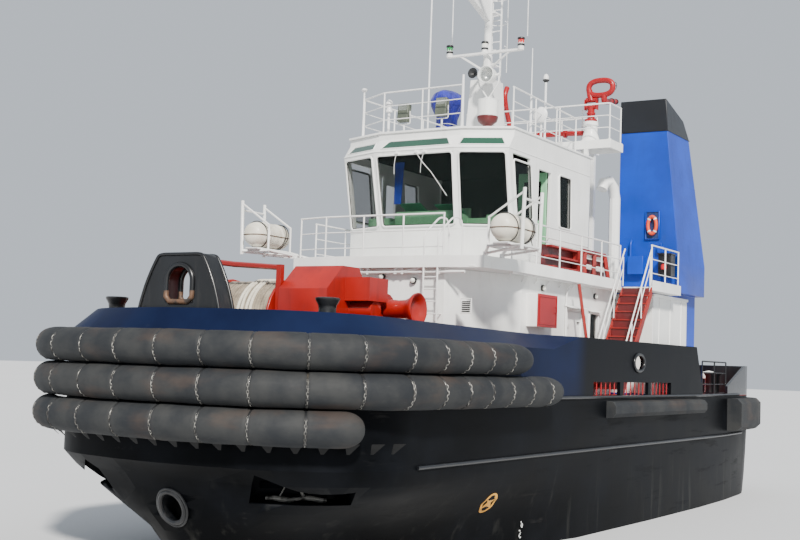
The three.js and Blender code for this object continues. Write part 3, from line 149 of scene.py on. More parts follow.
def rounded(corners: Points, radius: float) -> Array:
    """A polyline with its inner corners rounded.

    Each corner becomes a quadratic curve between the points that lie radius before and after
    it: (1-t)^2 a + 2t(1-t) corner + t^2 b.

    Args:
        corners: the corners in order.
        radius: how far from a corner the curve starts, cut to 45% of the shorter side.

    Returns:
        The path as an array of points.
    """
    points = np.asarray(corners, float)
    path = [points[:1]]
    t = np.linspace(0, 1, 5)[:, None]
    for before, corner, after in zip(points[:-2], points[1:-1], points[2:]):
        reach = min(radius, 0.45 * np.linalg.norm(corner - before),
                    0.45 * np.linalg.norm(after - corner))
        a = corner + unit(before - corner) * reach
        b = corner + unit(after - corner) * reach
        path.append((1 - t) ** 2 * a + 2 * t * (1 - t) * corner + t ** 2 * b)
    path.append(points[-1:])
    return np.concatenate(path)


def distances(path: Array) -> Array:
    """Distance of each point of a path from its start, along the path."""
    steps = np.linalg.norm(np.diff(path, axis=0), axis=1)
    return np.concatenate([[0.0], np.cumsum(steps)])


def resampled(path: Array, spacing: float) -> Array:
    """Points at even steps of about the given spacing along a path."""
    along = distances(path)
    marks = np.linspace(0, along[-1], max(2, int(round(along[-1] / spacing)) + 1))
    return np.stack([np.interp(marks, along, path[:, i]) for i in range(3)], axis=1)


class Surface:
    """A mesh gathered from whole arrays of points and faces."""

    def __init__(self) -> None:
        """Starts with no points and no faces."""
        self.points: list[Array] = []
        self.faces: list[list[int]] = []
        self.count = 0

    def add(self, points: Array, faces: Iterable[Sequence[int]]) -> "Surface":
        """Adds points, and faces that count from the first of them.

        Args:
            points: an array of points in its last axis.
            faces: corner numbers of each face.

        Returns:
            This surface, so that calls can follow each other.
        """
        flat = np.asarray(points, float).reshape(-1, 3)
        shift = self.count
        self.faces.extend([[int(i) + shift for i in face] for face in faces])
        self.points.append(flat)
        self.count += len(flat)
        return self

    def grid(self, points: Array, wrap_rows: bool = False, wrap_columns: bool = True,
             caps: bool = True) -> "Surface":
        """A skin over a grid of points.

        Face (i, j) joins points (i, j), (i, j+1), (i+1, j+1) and (i+1, j); a wrapped direction
        goes back to its start, and caps close the first and last row with one face each.

        Args:
            points: array of rows, columns and coordinates.
            wrap_rows: the last row joins the first.
            wrap_columns: the last column joins the first.
            caps: close the two end rows.

        Returns:
            This surface.
        """
        rows, columns = points.shape[:2]
        i = np.arange(rows if wrap_rows else rows - 1)[:, None]
        j = np.arange(columns if wrap_columns else columns - 1)[None, :]
        nexts = (i + 1) % rows
        side = (j + 1) % columns
        faces = np.stack([i * columns + j, i * columns + side, nexts * columns + side,
                          nexts * columns + j], axis=-1).reshape(-1, 4).tolist()
        if caps and not wrap_rows:
            faces.append(list(range(columns))[::-1])
            faces.append([(rows - 1) * columns + k for k in range(columns)])
        return self.add(points, faces)

    def tube(self, path: Points, radius: float | Array, sides: int = 10,
             closed: bool = False) -> "Surface":
        """A round tube along a path.

        Ring k is path[k] + r_k (cos a u + sin a w), with u and w square to the path.

        Args:
            path: points of the centreline.
            radius: one radius, or one for each point.
            sides: points round the tube.
            closed: the path goes back to its start.

        Returns:
            This surface.
        """
        path = np.asarray(path, float)
        ahead = np.roll(path, -1, 0) - np.roll(path, 1, 0) if closed else np.gradient(path, axis=0)
        along = unit(ahead)
        flattest = np.eye(3)[int(np.argmin(np.ptp(path, axis=0)))]
        u = unit(np.cross((flattest + np.array([0.013, 0.007, 0.011]))[None, :], along))
        w = np.cross(along, u)
        angle = np.linspace(0, 2 * np.pi, sides, endpoint=False)[None, :, None]
        r = np.broadcast_to(np.asarray(radius, float), (len(path),))[:, None, None]
        ring = np.cos(angle) * u[:, None, :] + np.sin(angle) * w[:, None, :]
        return self.grid(path[:, None, :] + r * ring, wrap_rows=closed, caps=not closed)

    def ring(self, path: Points, radius: float, sides: int = 10) -> "Surface":
        """A round tube along a path that goes back to its start."""
        return self.tube(path, radius, sides, closed=True)

    def rods(self, ends: Iterable[Points], radius: float, sides: int = 8) -> "Surface":
        """A straight round rod between each pair of points."""
        for pair in ends:
            self.tube(pair, radius, sides)
        return self

    def lathe(self, profile: Sequence[tuple[float, float]], centre: Sequence[float],
              axis: Axis = Axis.Z, segments: int = 32) -> "Surface":
        """A profile of (radius, height) pairs turned once round an axis.

        Args:
            profile: pairs from one end of the shape to the other.
            centre: where height 0 lies on the axis.
            axis: the axis that it is turned round.
            segments: points round the shape.

        Returns:
            This surface.
        """
        radius, height = np.asarray(profile, float).T
        angle = np.linspace(0, 2 * np.pi, segments, endpoint=False)
        own = np.stack([radius[:, None] * np.cos(angle), radius[:, None] * np.sin(angle),
                        np.broadcast_to(height[:, None], (len(radius), segments))], axis=-1)
        return self.grid(own[..., list(axis.value)] + np.asarray(centre, float))

    def disc(self, radius: float, low: float, high: float, centre: Sequence[float],
             axis: Axis = Axis.Z, segments: int = 24) -> "Surface":
        """A solid disc or rod between two heights on an axis, set out as a lathe is."""
        return self.lathe([(0, low), (radius, low), (radius, high), (0, high)], centre, axis,
                          segments)

    def block(self, low: Sequence[float], high: Sequence[float]) -> "Surface":
        """A box between any two opposite corners."""
        low, high = np.minimum(low, high), np.maximum(low, high)
        corners = np.array([[0, 0, 0], [1, 0, 0], [1, 1, 0], [0, 1, 0],
                            [0, 0, 1], [1, 0, 1], [1, 1, 1], [0, 1, 1]], float)
        faces = [(0, 3, 2, 1), (4, 5, 6, 7), (0, 1, 5, 4), (1, 2, 6, 5), (2, 3, 7, 6), (3, 0, 4, 7)]
        return self.add(low + corners * (high - low), faces)

    def plate(self, corners: Points, thickness: Sequence[float]) -> "Surface":
        """A flat panel of any corners, given a thickness by a vector."""
        front = np.asarray(corners, float)
        count = len(front)
        faces = [list(range(count))[::-1], [count + k for k in range(count)]]
        faces += [[k, (k + 1) % count, count + (k + 1) % count, count + k] for k in range(count)]
        return self.add(np.concatenate([front, front + np.asarray(thickness, float)]), faces)

    def copies(self, other: "Surface", places: Array, turns: Array) -> "Surface":
        """Another surface repeated, with a place and a 3 by 3 turning matrix for each copy."""
        base = np.concatenate(other.points)
        moved = np.einsum("nij,kj->nki", turns, base) + places[:, None, :]
        for copy in moved:
            self.add(copy, other.faces)
        return self

    def mirrored(self) -> "Surface":
        """A new surface: this one with its mirror image across the centreline."""
        points = np.concatenate(self.points)
        return Surface().add(points, self.faces).add(points * (1.0, -1.0, 1.0),
                                                     [face[::-1] for face in self.faces])


@lru_cache
def node_skin(name: str) -> BVHTree:
    """A frame node's mesh as a tree that rays can be cast on."""
    mesh = FRAME_NODES[name].data
    return BVHTree.FromPolygons([v.co for v in mesh.vertices],
                                [tuple(p.vertices) for p in mesh.polygons])


def linear(colour: Colour) -> Point:
    """An 8-bit screen colour, #rrggbb, as linear light."""
    return tuple((c / 12.92 if c <= 0.04045 else ((c + 0.055) / 1.055) ** 2.4)
                 for c in (int(colour[k:k + 2], 16) / 255 for k in (1, 3, 5)))


class Value:
    """A number that varies over a surface and can stand in a sum."""

    def __init__(self, graph: "Graph", socket: bpy.types.NodeSocket) -> None:
        """Keeps the socket and the graph that holds it."""
        self.graph = graph
        self.socket = socket

    def _math(self, operation: str, *terms: "Value | float") -> "Value":
        """One Math node on the given terms."""
        node = self.graph.node("ShaderNodeMath", dict(enumerate(terms)), operation=operation)
        return Value(self.graph, node.outputs[0])

    def __add__(self, other: "Value | float") -> "Value":
        """This number plus another."""
        return self._math("ADD", self, other)

    __radd__ = __add__

    def __sub__(self, other: "Value | float") -> "Value":
        """This number less another."""
        return self._math("SUBTRACT", self, other)

    def __rsub__(self, other: "Value | float") -> "Value":
        """Another number less this one."""
        return self._math("SUBTRACT", other, self)

    def __mul__(self, other: "Value | float") -> "Value":
        """This number times another."""
        return self._math("MULTIPLY", self, other)

    __rmul__ = __mul__

    def band(self, low: float, high: float) -> "Value":
        """0 below low, 1 above high, and a smooth step between them."""
        values = {"Value": self, "From Min": low, "From Max": high}
        node = self.graph.node("ShaderNodeMapRange", values, interpolation_type="SMOOTHSTEP")
        return Value(self.graph, node.outputs[0])

    def wave(self, period: float) -> "Value":
        """A triangle wave from 0 to half the period."""
        return self._math("PINGPONG", self, period / 2)


class Graph:
    """The nodes of one material round its main shader."""

    def __init__(self, name: str) -> None:
        """Starts a material with a Principled shader and the object's own coordinates."""
        self.material = bpy.data.materials.new(name)
        self.material.use_nodes = True
        self.tree = self.material.node_tree
        self.shader = self.tree.nodes["Principled BSDF"]
        self.place = self.node("ShaderNodeTexCoord", {}).outputs["Object"]

    def node(self, kind: str, values: dict, **settings: object) -> bpy.types.Node:
        """A node with its settings made first and its sockets fed next.

        Args:
            kind: the node's type.
            values: numbers, colours, sockets or Values for its sockets.
            settings: attributes of the node.

        Returns:
            The node.
        """
        node = self.tree.nodes.new(kind)
        for key, value in settings.items():
            setattr(node, key, value)
        for key, value in values.items():
            self.feed(node.inputs[key], value)
        return node

    def feed(self, socket: bpy.types.NodeSocket, value: object) -> None:
        """Links a socket or Value, or sets a plain number or colour."""
        if isinstance(value, Value):
            self.tree.links.new(value.socket, socket)
        elif isinstance(value, bpy.types.NodeSocket):
            self.tree.links.new(value, socket)
        elif isinstance(value, Colour):
            socket.default_value = (*linear(value), 1.0)
        else:
            socket.default_value = value

    def set(self, **values: object) -> None:
        """Feeds the main shader's sockets; an underscore stands for a space."""
        for key, value in values.items():
            self.feed(self.shader.inputs[key.replace("_", " ")], value)

    def noise(self, scale: float, stretch: Point = (1, 1, 1), detail: float = 3.0,
              roughness: float = 0.55, shift: Point = (0, 0, 0)) -> Value:
        """Cloudy noise on the object's coordinates, stretched along its axes."""
        at = self.node("ShaderNodeMapping",
                       {"Vector": self.place, "Scale": stretch, "Location": shift})
        noise = self.node("ShaderNodeTexNoise", {"Vector": at.outputs[0], "Scale": scale,
                                                 "Detail": detail, "Roughness": roughness})
        return Value(self, noise.outputs["Fac"])

    def axis(self, index: int) -> Value:
        """One of the object's coordinates, in metres."""
        return Value(self, self.node("ShaderNodeSeparateXYZ",
                                     {"Vector": self.place}).outputs[index])

    def mix(self, share: "Value | float", first: object, second: object) -> bpy.types.NodeSocket:
        """A colour between two by a share."""
        return self.node("ShaderNodeMix", {0: share, 6: first, 7: second},
                         data_type="RGBA").outputs[2]

    def clouded(self, clouds: Value, low: float, high: float, first: object,
                second: object) -> bpy.types.NodeSocket:
        """The first colour where the clouds are below low, the second where above high."""
        return self.mix(clouds.band(low, high), first, second)

    def bump(self, height: Value, distance: float, strength: float) -> None:
        """Raises the surface by a height of up to the distance in metres."""
        node = self.node("ShaderNodeBump",
                         {"Height": height, "Distance": distance, "Strength": strength})
        self.set(Normal=node.outputs["Normal"])


@dataclass(frozen=True)
class Finish:
    """A named finish that is laid on the nodes of its own material."""

    name: str

    def make(self) -> bpy.types.Material:
        """A new material with this finish."""
        graph = Graph(self.name)
        self.lay(graph)
        return graph.material


@dataclass(frozen=True)
class TwoTone(Finish):
    """A finish whose clouds mix a fresh and an aged colour."""

    colour: Colour
    aged: Colour

    def tone(self, clouds: Value, low: float = 0.35, high: float = 0.7) -> bpy.types.NodeSocket:
        """The fresh colour where the clouds are low, and the aged one where they are high."""
        return clouds.graph.clouded(clouds, low, high, self.colour, self.aged)


@dataclass(frozen=True)
class Paint(TwoTone):
    """Brushed or sprayed enamel on steel, with clouds, run-down grime and worn rust."""

    roughness: float = 0.35
    coat: float = 0.08
    grime: Colour = "#786854"
    grime_share: float = 0.25
    rust_share: float = 0.1
    dent: float = 0.002
    rust: Colour = "#703a22"

    def lay(self, g: Graph) -> None:
        """Clouds mix two tones, streaks stretched along Z lay grime over them, and fine spots
        turn to rust; dents and brush marks raise the surface."""
        clouds = g.noise(0.9, detail=4.0)
        fine = g.noise(14.0, detail=2.0, shift=(3, 1, 2))
        streaks = g.noise(5.0, (1, 1, 0.12), detail=4.0, roughness=0.65)
        spots = g.noise(4.5, detail=6.0, roughness=0.7, shift=(7, 5, 3))
        run = streaks.band(0.52, 0.78) * self.grime_share
        rust = spots.band(0.72 - 0.12 * self.rust_share, 0.76) * (0.6 + 0.4 * fine)
        tone = self.tone(clouds)
        stained = g.mix(run, tone, self.grime)
        g.set(Base_Color=g.mix(rust * min(1.0, 4 * self.rust_share), stained, self.rust),
              Roughness=self.roughness + 0.22 * run + 0.12 * (fine - 0.5),
              Coat_Weight=self.coat, Coat_Roughness=0.12)
        g.bump(clouds * 0.8 + fine * 0.08, self.dent, 0.6)


@dataclass(frozen=True)
class HullPaint(Finish):
    """Black topside enamel over a dull bottom coat, split at the load line."""

    topside: Colour = "#060709"
    faded: Colour = "#111317"
    scrape: Colour = "#3a3938"
    salt: Colour = "#464642"
    bottom: Colour = "#68221a"
    old_bottom: Colour = "#461e1a"
    deck: Colour = "#a8261c"
    old_deck: Colour = "#782c24"
    deck_level: float = 3.385
    load_line: float = -0.12

    def lay(self, g: Graph) -> None:
        """Height picks the coat: bottom red below the load line, deck red on the deck and black
        between them, with scrapes stretched along the hull and salt near the water."""
        height = g.axis(2)
        clouds = g.noise(0.5, detail=5.0)
        scrapes = g.noise(2.4, (0.16, 0.6, 1.6), detail=6.0, roughness=0.7)
        runs = g.noise(3.0, (1, 1, 0.1), detail=4.0, shift=(2, 4, 1))
        fine = g.noise(30.0, detail=2.0)
        black = g.clouded(clouds, 0.35, 0.7, self.topside, self.faded)
        scraped = g.mix(scrapes.band(0.6, 0.74) * 0.35, black, self.scrape)
        salted = g.mix(runs.band(0.55, 0.75) * 0.3 * (1 - height.band(0.2, 2.4)), scraped,
                       self.salt)
        below = g.clouded(clouds, 0.3, 0.7, self.bottom, self.old_bottom)
        sides = g.clouded(height, self.load_line, self.load_line + 0.02, below, salted)
        deck = g.clouded(clouds, 0.4, 0.75, self.deck, self.old_deck)
        g.set(Base_Color=g.clouded(height, self.deck_level, self.deck_level + 0.005, sides, deck),
              Roughness=0.3 + 0.25 * clouds + 0.2 * scrapes.band(0.55, 0.75),
              Specular_IOR_Level=0.04)
        g.bump(clouds + scrapes * 0.15 + fine * 0.03, 0.008, 0.5)


@dataclass(frozen=True)
class BulwarkPaint(Finish):
    """Navy enamel forward and black aft."""

    navy: Colour = "#0c142c"
    old_navy: Colour = "#121c38"
    black: Colour = "#08090c"
    old_black: Colour = "#0f1115"
    scrape: Colour = "#54565c"
    meet: float = 3.0

    def lay(self, g: Graph) -> None:
        """The place along X fades navy into black over a metre; clouds and scrapes break it."""
        clouds = g.noise(0.7, detail=5.0)
        scrapes = g.noise(2.0, (0.2, 0.6, 2.0), detail=6.0, roughness=0.7)
        navy = g.clouded(clouds, 0.3, 0.72, self.navy, self.old_navy)
        black = g.clouded(clouds, 0.3, 0.72, self.black, self.old_black)
        paint = g.clouded(g.axis(0), self.meet - 0.5, self.meet + 0.5, black, navy)
        g.set(Base_Color=g.mix(scrapes.band(0.64, 0.78) * 0.3, paint, self.scrape),
              Roughness=0.3 + 0.2 * clouds, Specular_IOR_Level=0.06)
        g.bump(clouds + scrapes * 0.1, 0.006, 0.6)


@dataclass(frozen=True)
class Rubber(Finish):
    """Weathered fender rubber: grey bloom, brown stains, scuffs and fine pores."""

    colour: Colour = "#2f3030"
    dark: Colour = "#1b1e22"
    stain: Colour = "#4e3c30"
    stain_share: float = 0.32
    scuff: Colour = "#50504f"

    def lay(self, g: Graph) -> None:
        """Two sizes of noise mix dark and bloomed rubber, and a third lays brown stains on top."""
        clouds = g.noise(1.3, detail=5.0, roughness=0.6)
        stains = g.noise(1.0, (0.7, 0.7, 2.0), detail=4.0, shift=(9, 2, 5))
        scuffs = g.noise(5.0, (0.6, 0.6, 3.0), detail=6.0, roughness=0.72)
        pores = g.noise(60.0, detail=2.0)
        base = g.clouded(clouds, 0.32, 0.68, self.dark, self.colour)
        stained = g.mix(stains.band(0.5, 0.72) * self.stain_share, base, self.stain)
        g.set(Base_Color=g.mix(scuffs.band(0.62, 0.76) * 0.4, stained, self.scuff),
              Roughness=0.62 + 0.25 * scuffs, Specular_IOR_Level=0.35)
        g.bump(clouds * 0.6 + scuffs * 0.5 + pores * 0.12, 0.006, 0.7)


@dataclass(frozen=True)
class Glass(Finish):
    """Tinted window glass, thin enough to show what is behind it unbent."""

    tint: Colour
    cover: float

    def lay(self, g: Graph) -> None:
        """Smears drive the gloss and how much of what is behind the pane is covered."""
        smears = g.noise(2.2, (1, 1, 0.4), detail=4.0)
        g.set(Base_Color=self.tint, Alpha=self.cover + 0.08 * smears,
              Roughness=0.02 + 0.05 * smears, Specular_IOR_Level=0.25)
        g.bump(smears, 0.001, 0.15)


@dataclass(frozen=True)
class Metal(TwoTone):
    """Bare or galvanised metal with worn, dull patches."""

    roughness: float = 0.4
    metallic: float = 1.0

    def lay(self, g: Graph) -> None:
        """Noise mixes bright and worn metal and drives its gloss."""
        clouds = g.noise(6.0, detail=5.0)
        fine = g.noise(45.0)
        g.set(Base_Color=self.tone(clouds, 0.4, 0.65),
              Metallic=self.metallic, Roughness=self.roughness + 0.25 * (clouds - 0.5))
        g.bump(clouds * 0.5 + fine * 0.3, 0.0015, 0.6)


@dataclass(frozen=True)
class Plastic(TwoTone):
    """Moulded or gel-coated plastic."""

    roughness: float = 0.35
    gloss: float = 0.5
    dirt: Colour = "#787062"

    def lay(self, g: Graph) -> None:
        """Slow clouds fade the colour and fine grain breaks the gloss."""
        clouds = g.noise(2.5)
        grain = g.noise(70.0, detail=2.0)
        runs = g.noise(7.0, (1, 1, 0.25), shift=(4, 0, 1))
        tone = self.tone(clouds)
        g.set(Base_Color=g.mix(runs.band(0.55, 0.8) * 0.3, tone, self.dirt),
              Roughness=self.roughness + 0.15 * grain, Specular_IOR_Level=self.gloss,
              Coat_Weight=0.2 * self.gloss)
        g.bump(grain * 0.4 + clouds * 0.4, 0.0012, 0.5)


@dataclass(frozen=True)
class Cloth(TwoTone):
    """Coated woven cover cloth."""

    def lay(self, g: Graph) -> None:
        """Crossed fine waves weave the cloth; clouds fade it and creases scuff it."""
        clouds = g.noise(3.0, detail=4.0)
        scuffs = g.noise(16.0, detail=4.0)
        threads = g.axis(2).wave(0.008) + (g.axis(0) + g.axis(1)).wave(0.008)
        g.set(Base_Color=self.tone(clouds), Roughness=0.5 + 0.25 * scuffs, Sheen_Weight=0.25)
        g.bump(threads * 60 + scuffs * 0.5, 0.002, 0.5)


@dataclass(frozen=True)
class Rope(TwoTone):
    """Laid fibre rope, grey-white with dirt between its strands."""

    def lay(self, g: Graph) -> None:
        """Fibre noise and dirt clouds mix two tones."""
        fibres = g.noise(120.0, (1, 1, 0.4))
        clouds = g.noise(4.0, detail=4.0)
        g.set(Base_Color=self.tone(clouds * 0.6 + fibres * 0.5, 0.35, 0.75), Roughness=0.9,
              Sheen_Weight=0.3)
        g.bump(fibres, 0.003, 0.7)


@dataclass(frozen=True)
class Lamp(Finish):
    """Lamp glass that shows its own colour."""

    colour: Colour
    glow: float = 0.15
    shade: float = 0.7

    def lay(self, g: Graph) -> None:
        """Glossy coloured glass with a faint inner light and moulded ribs."""
        ribs = g.axis(2).wave(0.03) * 30
        shaded = (*(self.shade * c for c in linear(self.colour)), 1.0)
        g.set(Base_Color=g.mix(ribs, self.colour, shaded), Roughness=0.12,
              Emission_Color=self.colour, Emission_Strength=self.glow, Coat_Weight=0.5)
        g.bump(ribs, 0.002, 0.6)


# The finishes of each slot; a node that gets no piece of its own takes the first.
FINISHES = {
    Slot.HULL: (
        Paint("black_enamel", "#0a0b0d", "#14161a", 0.34, 0.15, "#46423e", 0.3, 0.06),
        HullPaint("hull_enamel"),
        Paint("cap_enamel", "#14181f", "#0f1217", 0.4, 0.05, "#141414", 0.5, 0.0),
        Paint("olive_enamel", "#5c6254", "#4a5046", 0.45, 0.0, "#32322c", 0.3, 0.0),
        Metal("chain_steel", "#96948e", "#343230", 0.55, 0.4),
        Metal("rusty_steel", "#6c5240", "#3c3632", 0.6, 0.4),
        Plastic("black_plastic", "#161719", "#222325", 0.4),
        # Matte near-black without gloss: painted shade for the inside of the wheelhouse.
        Plastic("dark_shade_sheet", "#101212", "#0b0c0c", 0.9, 0.0),
    ),
    Slot.NAVY: (
        Paint("navy_enamel", "#1e2f58", "#263864", 0.34, 0.3, "#161e34", 0.3, 0.02),
        BulwarkPaint("bulwark_enamel"),
    ),
    Slot.WHITE: (
        Paint("white_enamel", "#f3f4f1", "#e8e9e6", grime_share=0.12, rust_share=0.0),
        Paint("rail_enamel", "#eeeeec", "#e2e2e0", grime_share=0.2, rust_share=0.05, dent=0.0008),
        Plastic("dome_plastic", "#f0f0f0", "#e2e2e2", 0.25),
    ),
    Slot.WINCH: (
        Paint("winch_enamel", "#9e180e", "#881610", 0.35, 0.08, "#46221c", 0.35, 0.1),
    ),
    Slot.STAIR: (
        Paint("stair_enamel", "#962018", "#7c1e1a", 0.5, 0.05, "#542c24", 0.4, 0.12),
        Paint("deck_enamel", "#9e221e", "#7e2020", 0.55, 0.0, "#542824", 0.45, 0.1),
        Paint("dark_red_enamel", "#62181a", "#4c1416", 0.4, 0.1, "#3c1e1a", 0.5, 0.1),
    ),
    Slot.FIRE: (
        Paint("fire_enamel", "#a00610", "#920610", 0.35, 0.08, "#640e14", 0.15, 0.0),
        Plastic("buoy_plastic", "#ee5428", "#dc4622", 0.45),
    ),
    Slot.BLUE: (
        Paint("funnel_enamel", "#003eb4", "#02369e", 0.4, 0.05, "#183a6e", 0.3, 0.02),
    ),
    Slot.RUBBER: (
        Rubber("fender_rubber"),
        # Near-black rubber: the window gaskets' own black, and painted shade on the fender lugs
        # under the lowest tube.
        Rubber("black_and_shade_rubber", "#121314", "#0a0a0b", "#1c1916", 0.3, "#1e1e1e"),
    ),
    Slot.BRONZE: (
        Metal("bronze_metal", "#b08646", "#78562c"),
        Paint("mark_enamel", "#eeb040", "#d69632", 0.45, 0.0, "#5a3c1e", 0.4, 0.05),
        Metal("bright_steel", "#d6d6d4", "#b4b2ac", 0.3),
    ),
    Slot.GLASS: (
        Glass("cabin_glass", "#0e1816", 0.24),
        Glass("clear_glass", "#c8cece", 0.15),
        Paint("strip_glass", "#1c4a36", "#163c2e", 0.08, 0.8, "#1e3c30", 0.1, 0.0, 0.0006),
        Lamp("red_lamp", "#c81414"),
        Lamp("green_lamp", "#109646"),
        Lamp("white_lamp", "#ecece2"),
    ),
    Slot.RAFT: (
        Plastic("raft_plastic", "#e2ddcf", "#cec8b8"),
    ),
    Slot.ROPE: (
        Rope("hawser_fibre", "#a89c88", "#685c4e"),
        Rope("new_hawser", "#e8e4d6", "#bcb29e"),
    ),
    Slot.CLOTH: (
        Cloth("cover_cloth", "#1a20a6", "#101678"),
        Plastic("blue_curtain", "#1846c8", "#1032a0", 0.8),
    ),
    Slot.MINT: (
        Paint("mint_enamel", "#8ecc9e", "#78ba8c", 0.5, 0.0, "#46785c", 0.2, 0.0),
        Paint("green_enamel", "#308864", "#287458", 0.5, 0.0, "#1e503e", 0.2, 0.0),
    ),
}


class Locker:
    """All finishes by name, made on first use."""

    def __init__(self) -> None:
        """Lists the recipes and their slots, with nothing made."""
        self.recipes = {recipe.name: recipe for group in FINISHES.values() for recipe in group}
        self.slots = {recipe.name: slot for slot, group in FINISHES.items() for recipe in group}
        self.made: dict[str, bpy.types.Material] = {}

    def __getitem__(self, name: str) -> bpy.types.Material:
        """The material of that name."""
        if name not in self.made:
            self.made[name] = self.recipes[name].make()
        return self.made[name]


def linked(name: str, data: bpy.types.ID) -> bpy.types.Object:
    """A new object in the scene."""
    made = bpy.data.objects.new(name, data)
    bpy.context.scene.collection.objects.link(made)
    return made


@contextmanager
def edited(mesh: bpy.types.Mesh) -> Iterator[bmesh.types.BMesh]:
    """A mesh opened for editing and written back at the end."""
    work = bmesh.new()
    work.from_mesh(mesh)
    yield work
    work.to_mesh(mesh)
    work.free()


@dataclass(frozen=True)
class Look:
    """How a piece is shaded and what it goes with.

    Its fields are the slot, the body, the nodes it replaces, the width of its bevelled edges,
    the angle in degrees up to which it is smooth, and whether its faces are turned outwards.
    """

    slot: Slot
    body: str = "vessel"
    replaces: tuple[str, ...] = ()
    bevel: float = 0.0
    smooth: float = 40.0
    outward: bool = True

    def give(self, piece: bpy.types.Object, finish: bpy.types.Material) -> bpy.types.Object:
        """Gives an object its material, edges and body.

        Args:
            piece: the object, with its mesh in place.
            finish: the material.

        Returns:
            The same object.
        """
        mesh = piece.data
        mesh.materials.clear()
        mesh.materials.append(finish)
        mesh.polygons.foreach_set("use_smooth", [True] * len(mesh.polygons))
        mesh.set_sharp_from_angle(angle=math.radians(self.smooth))
        if self.bevel > 0:
            bevel = piece.modifiers.new("edges", "BEVEL")
            bevel.width = self.bevel
            bevel.segments = 2
            bevel.limit_method = "ANGLE"
            bevel.angle_limit = math.radians(38)
            bevel.use_clamp_overlap = True
            bevel.harden_normals = False
        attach(piece, self.body)
        if self.replaces:
            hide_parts(*self.replaces)
        LOG.info("%s: %d faces on %s", piece.name, len(mesh.polygons), self.body)
        return piece


@dataclass
class Assembly:
    """A part of the tug that makes its pieces with finishes from one locker."""

    locker: Locker

    def put(self, name: str, surface: Surface, finish: str, **look: object) -> bpy.types.Object:
        """Makes a piece of its own.

        Args:
            name: the piece's name.
            surface: its points and faces.
            finish: name of its finish, whose slot its Look takes.
            look: fields of Look that differ from their defaults.

        Returns:
            The new object.
        """
        full = Look(**{"slot": self.locker.slots[finish], **look})
        mesh = bpy.data.meshes.new(name)
        mesh.from_pydata(np.concatenate(surface.points).tolist(), [], surface.faces)
        mesh.update()
        if full.outward:
            with edited(mesh) as work:
                bmesh.ops.recalc_face_normals(work, faces=work.faces)
        return full.give(linked(name, mesh), self.locker[finish])

    def dress(self, name: str, finish: str, **look: object) -> bpy.types.Object:
        """Shows a frame node as a merged copy with soft edges and its finish.

        Args:
            name: the node's name.
            finish: name of its finish, whose slot its Look takes.
            look: fields of Look that differ from their defaults.

        Returns:
            The copy that stands for the node.
        """
        mesh = FRAME_NODES[name].data.copy()
        mesh.name = name + "_dressed"
        with edited(mesh) as work:
            bmesh.ops.remove_doubles(work, verts=work.verts, dist=2e-5)
            bmesh.ops.dissolve_degenerate(work, edges=work.edges, dist=1e-5)
            bmesh.ops.dissolve_limit(work, angle_limit=math.radians(0.4), verts=work.verts,
                                     edges=work.edges)
        full = Look(**{"slot": self.locker.slots[finish], "replaces": (name,), **look})
        return full.give(linked(mesh.name, mesh), self.locker[finish])


@dataclass
class DeckEdge:
    """Plan of the deck edge: two arcs at the bow, a straight side and a slight run-in aft."""

    nose_x: float = 13.79
    half_beam: float = 4.035
    front_radius: float = 8.49
    front_angle: float = 0.25
    shoulder_radius: float = 2.57
    aft_half_beam: float = 3.75
    run_in_x: float = -6.0
    quarter_x: float = -12.05

    def half(self, step: float = 0.05) -> tuple[Array, Array]:
        """Points and outward normals along the port edge, from the nose aft.

        An arc point is centre + r (cos a, sin a) and its normal is (cos a, sin a); aft of the
        run-in point y falls with the square of the distance.

        Args:
            step: distance between points in metres.

        Returns:
            Points and normals in plan, as two arrays of x and y.
        """
        shift = self.front_radius - self.shoulder_radius
        shoulder_x = self.nose_x - self.front_radius + shift * math.cos(self.front_angle)
        a = np.arange(0, self.front_angle, step / self.front_radius)
        front = np.stack([self.nose_x - self.front_radius + self.front_radius * np.cos(a),
                          self.front_radius * np.sin(a)], 1)
        b = np.arange(self.front_angle, math.pi / 2, step / self.shoulder_radius)
        shoulder = np.stack([shoulder_x + self.shoulder_radius * np.cos(b),
                             self.half_beam - self.shoulder_radius
                             + self.shoulder_radius * np.sin(b)], 1)
        x = np.arange(shoulder_x, self.quarter_x, -step)
        t = np.clip((self.run_in_x - x) / (self.run_in_x - self.quarter_x), 0, 1)
        side = np.stack([x, self.half_beam + (self.aft_half_beam - self.half_beam) * t * t], 1)
        points = np.concatenate([front, shoulder, side])
        ahead = unit(np.gradient(points, axis=0))
        normals = np.stack([ahead[:, 1], -ahead[:, 0]], 1)
        normals[0] = (1, 0)
        return points, normals

    def round_bow(self, end_x: float, out: float, z: float) -> Array:
        """A line at one height, offset outwards, from starboard end_x round the bow to port."""
        points, normals = self.half()
        keep = points[:, 0] >= end_x
        port = points[keep] + normals[keep] * out
        both = np.concatenate([(port * (1, -1))[::-1][:-1], port])
        return np.column_stack([both, np.full(len(both), z)])


EDGE = DeckEdge()


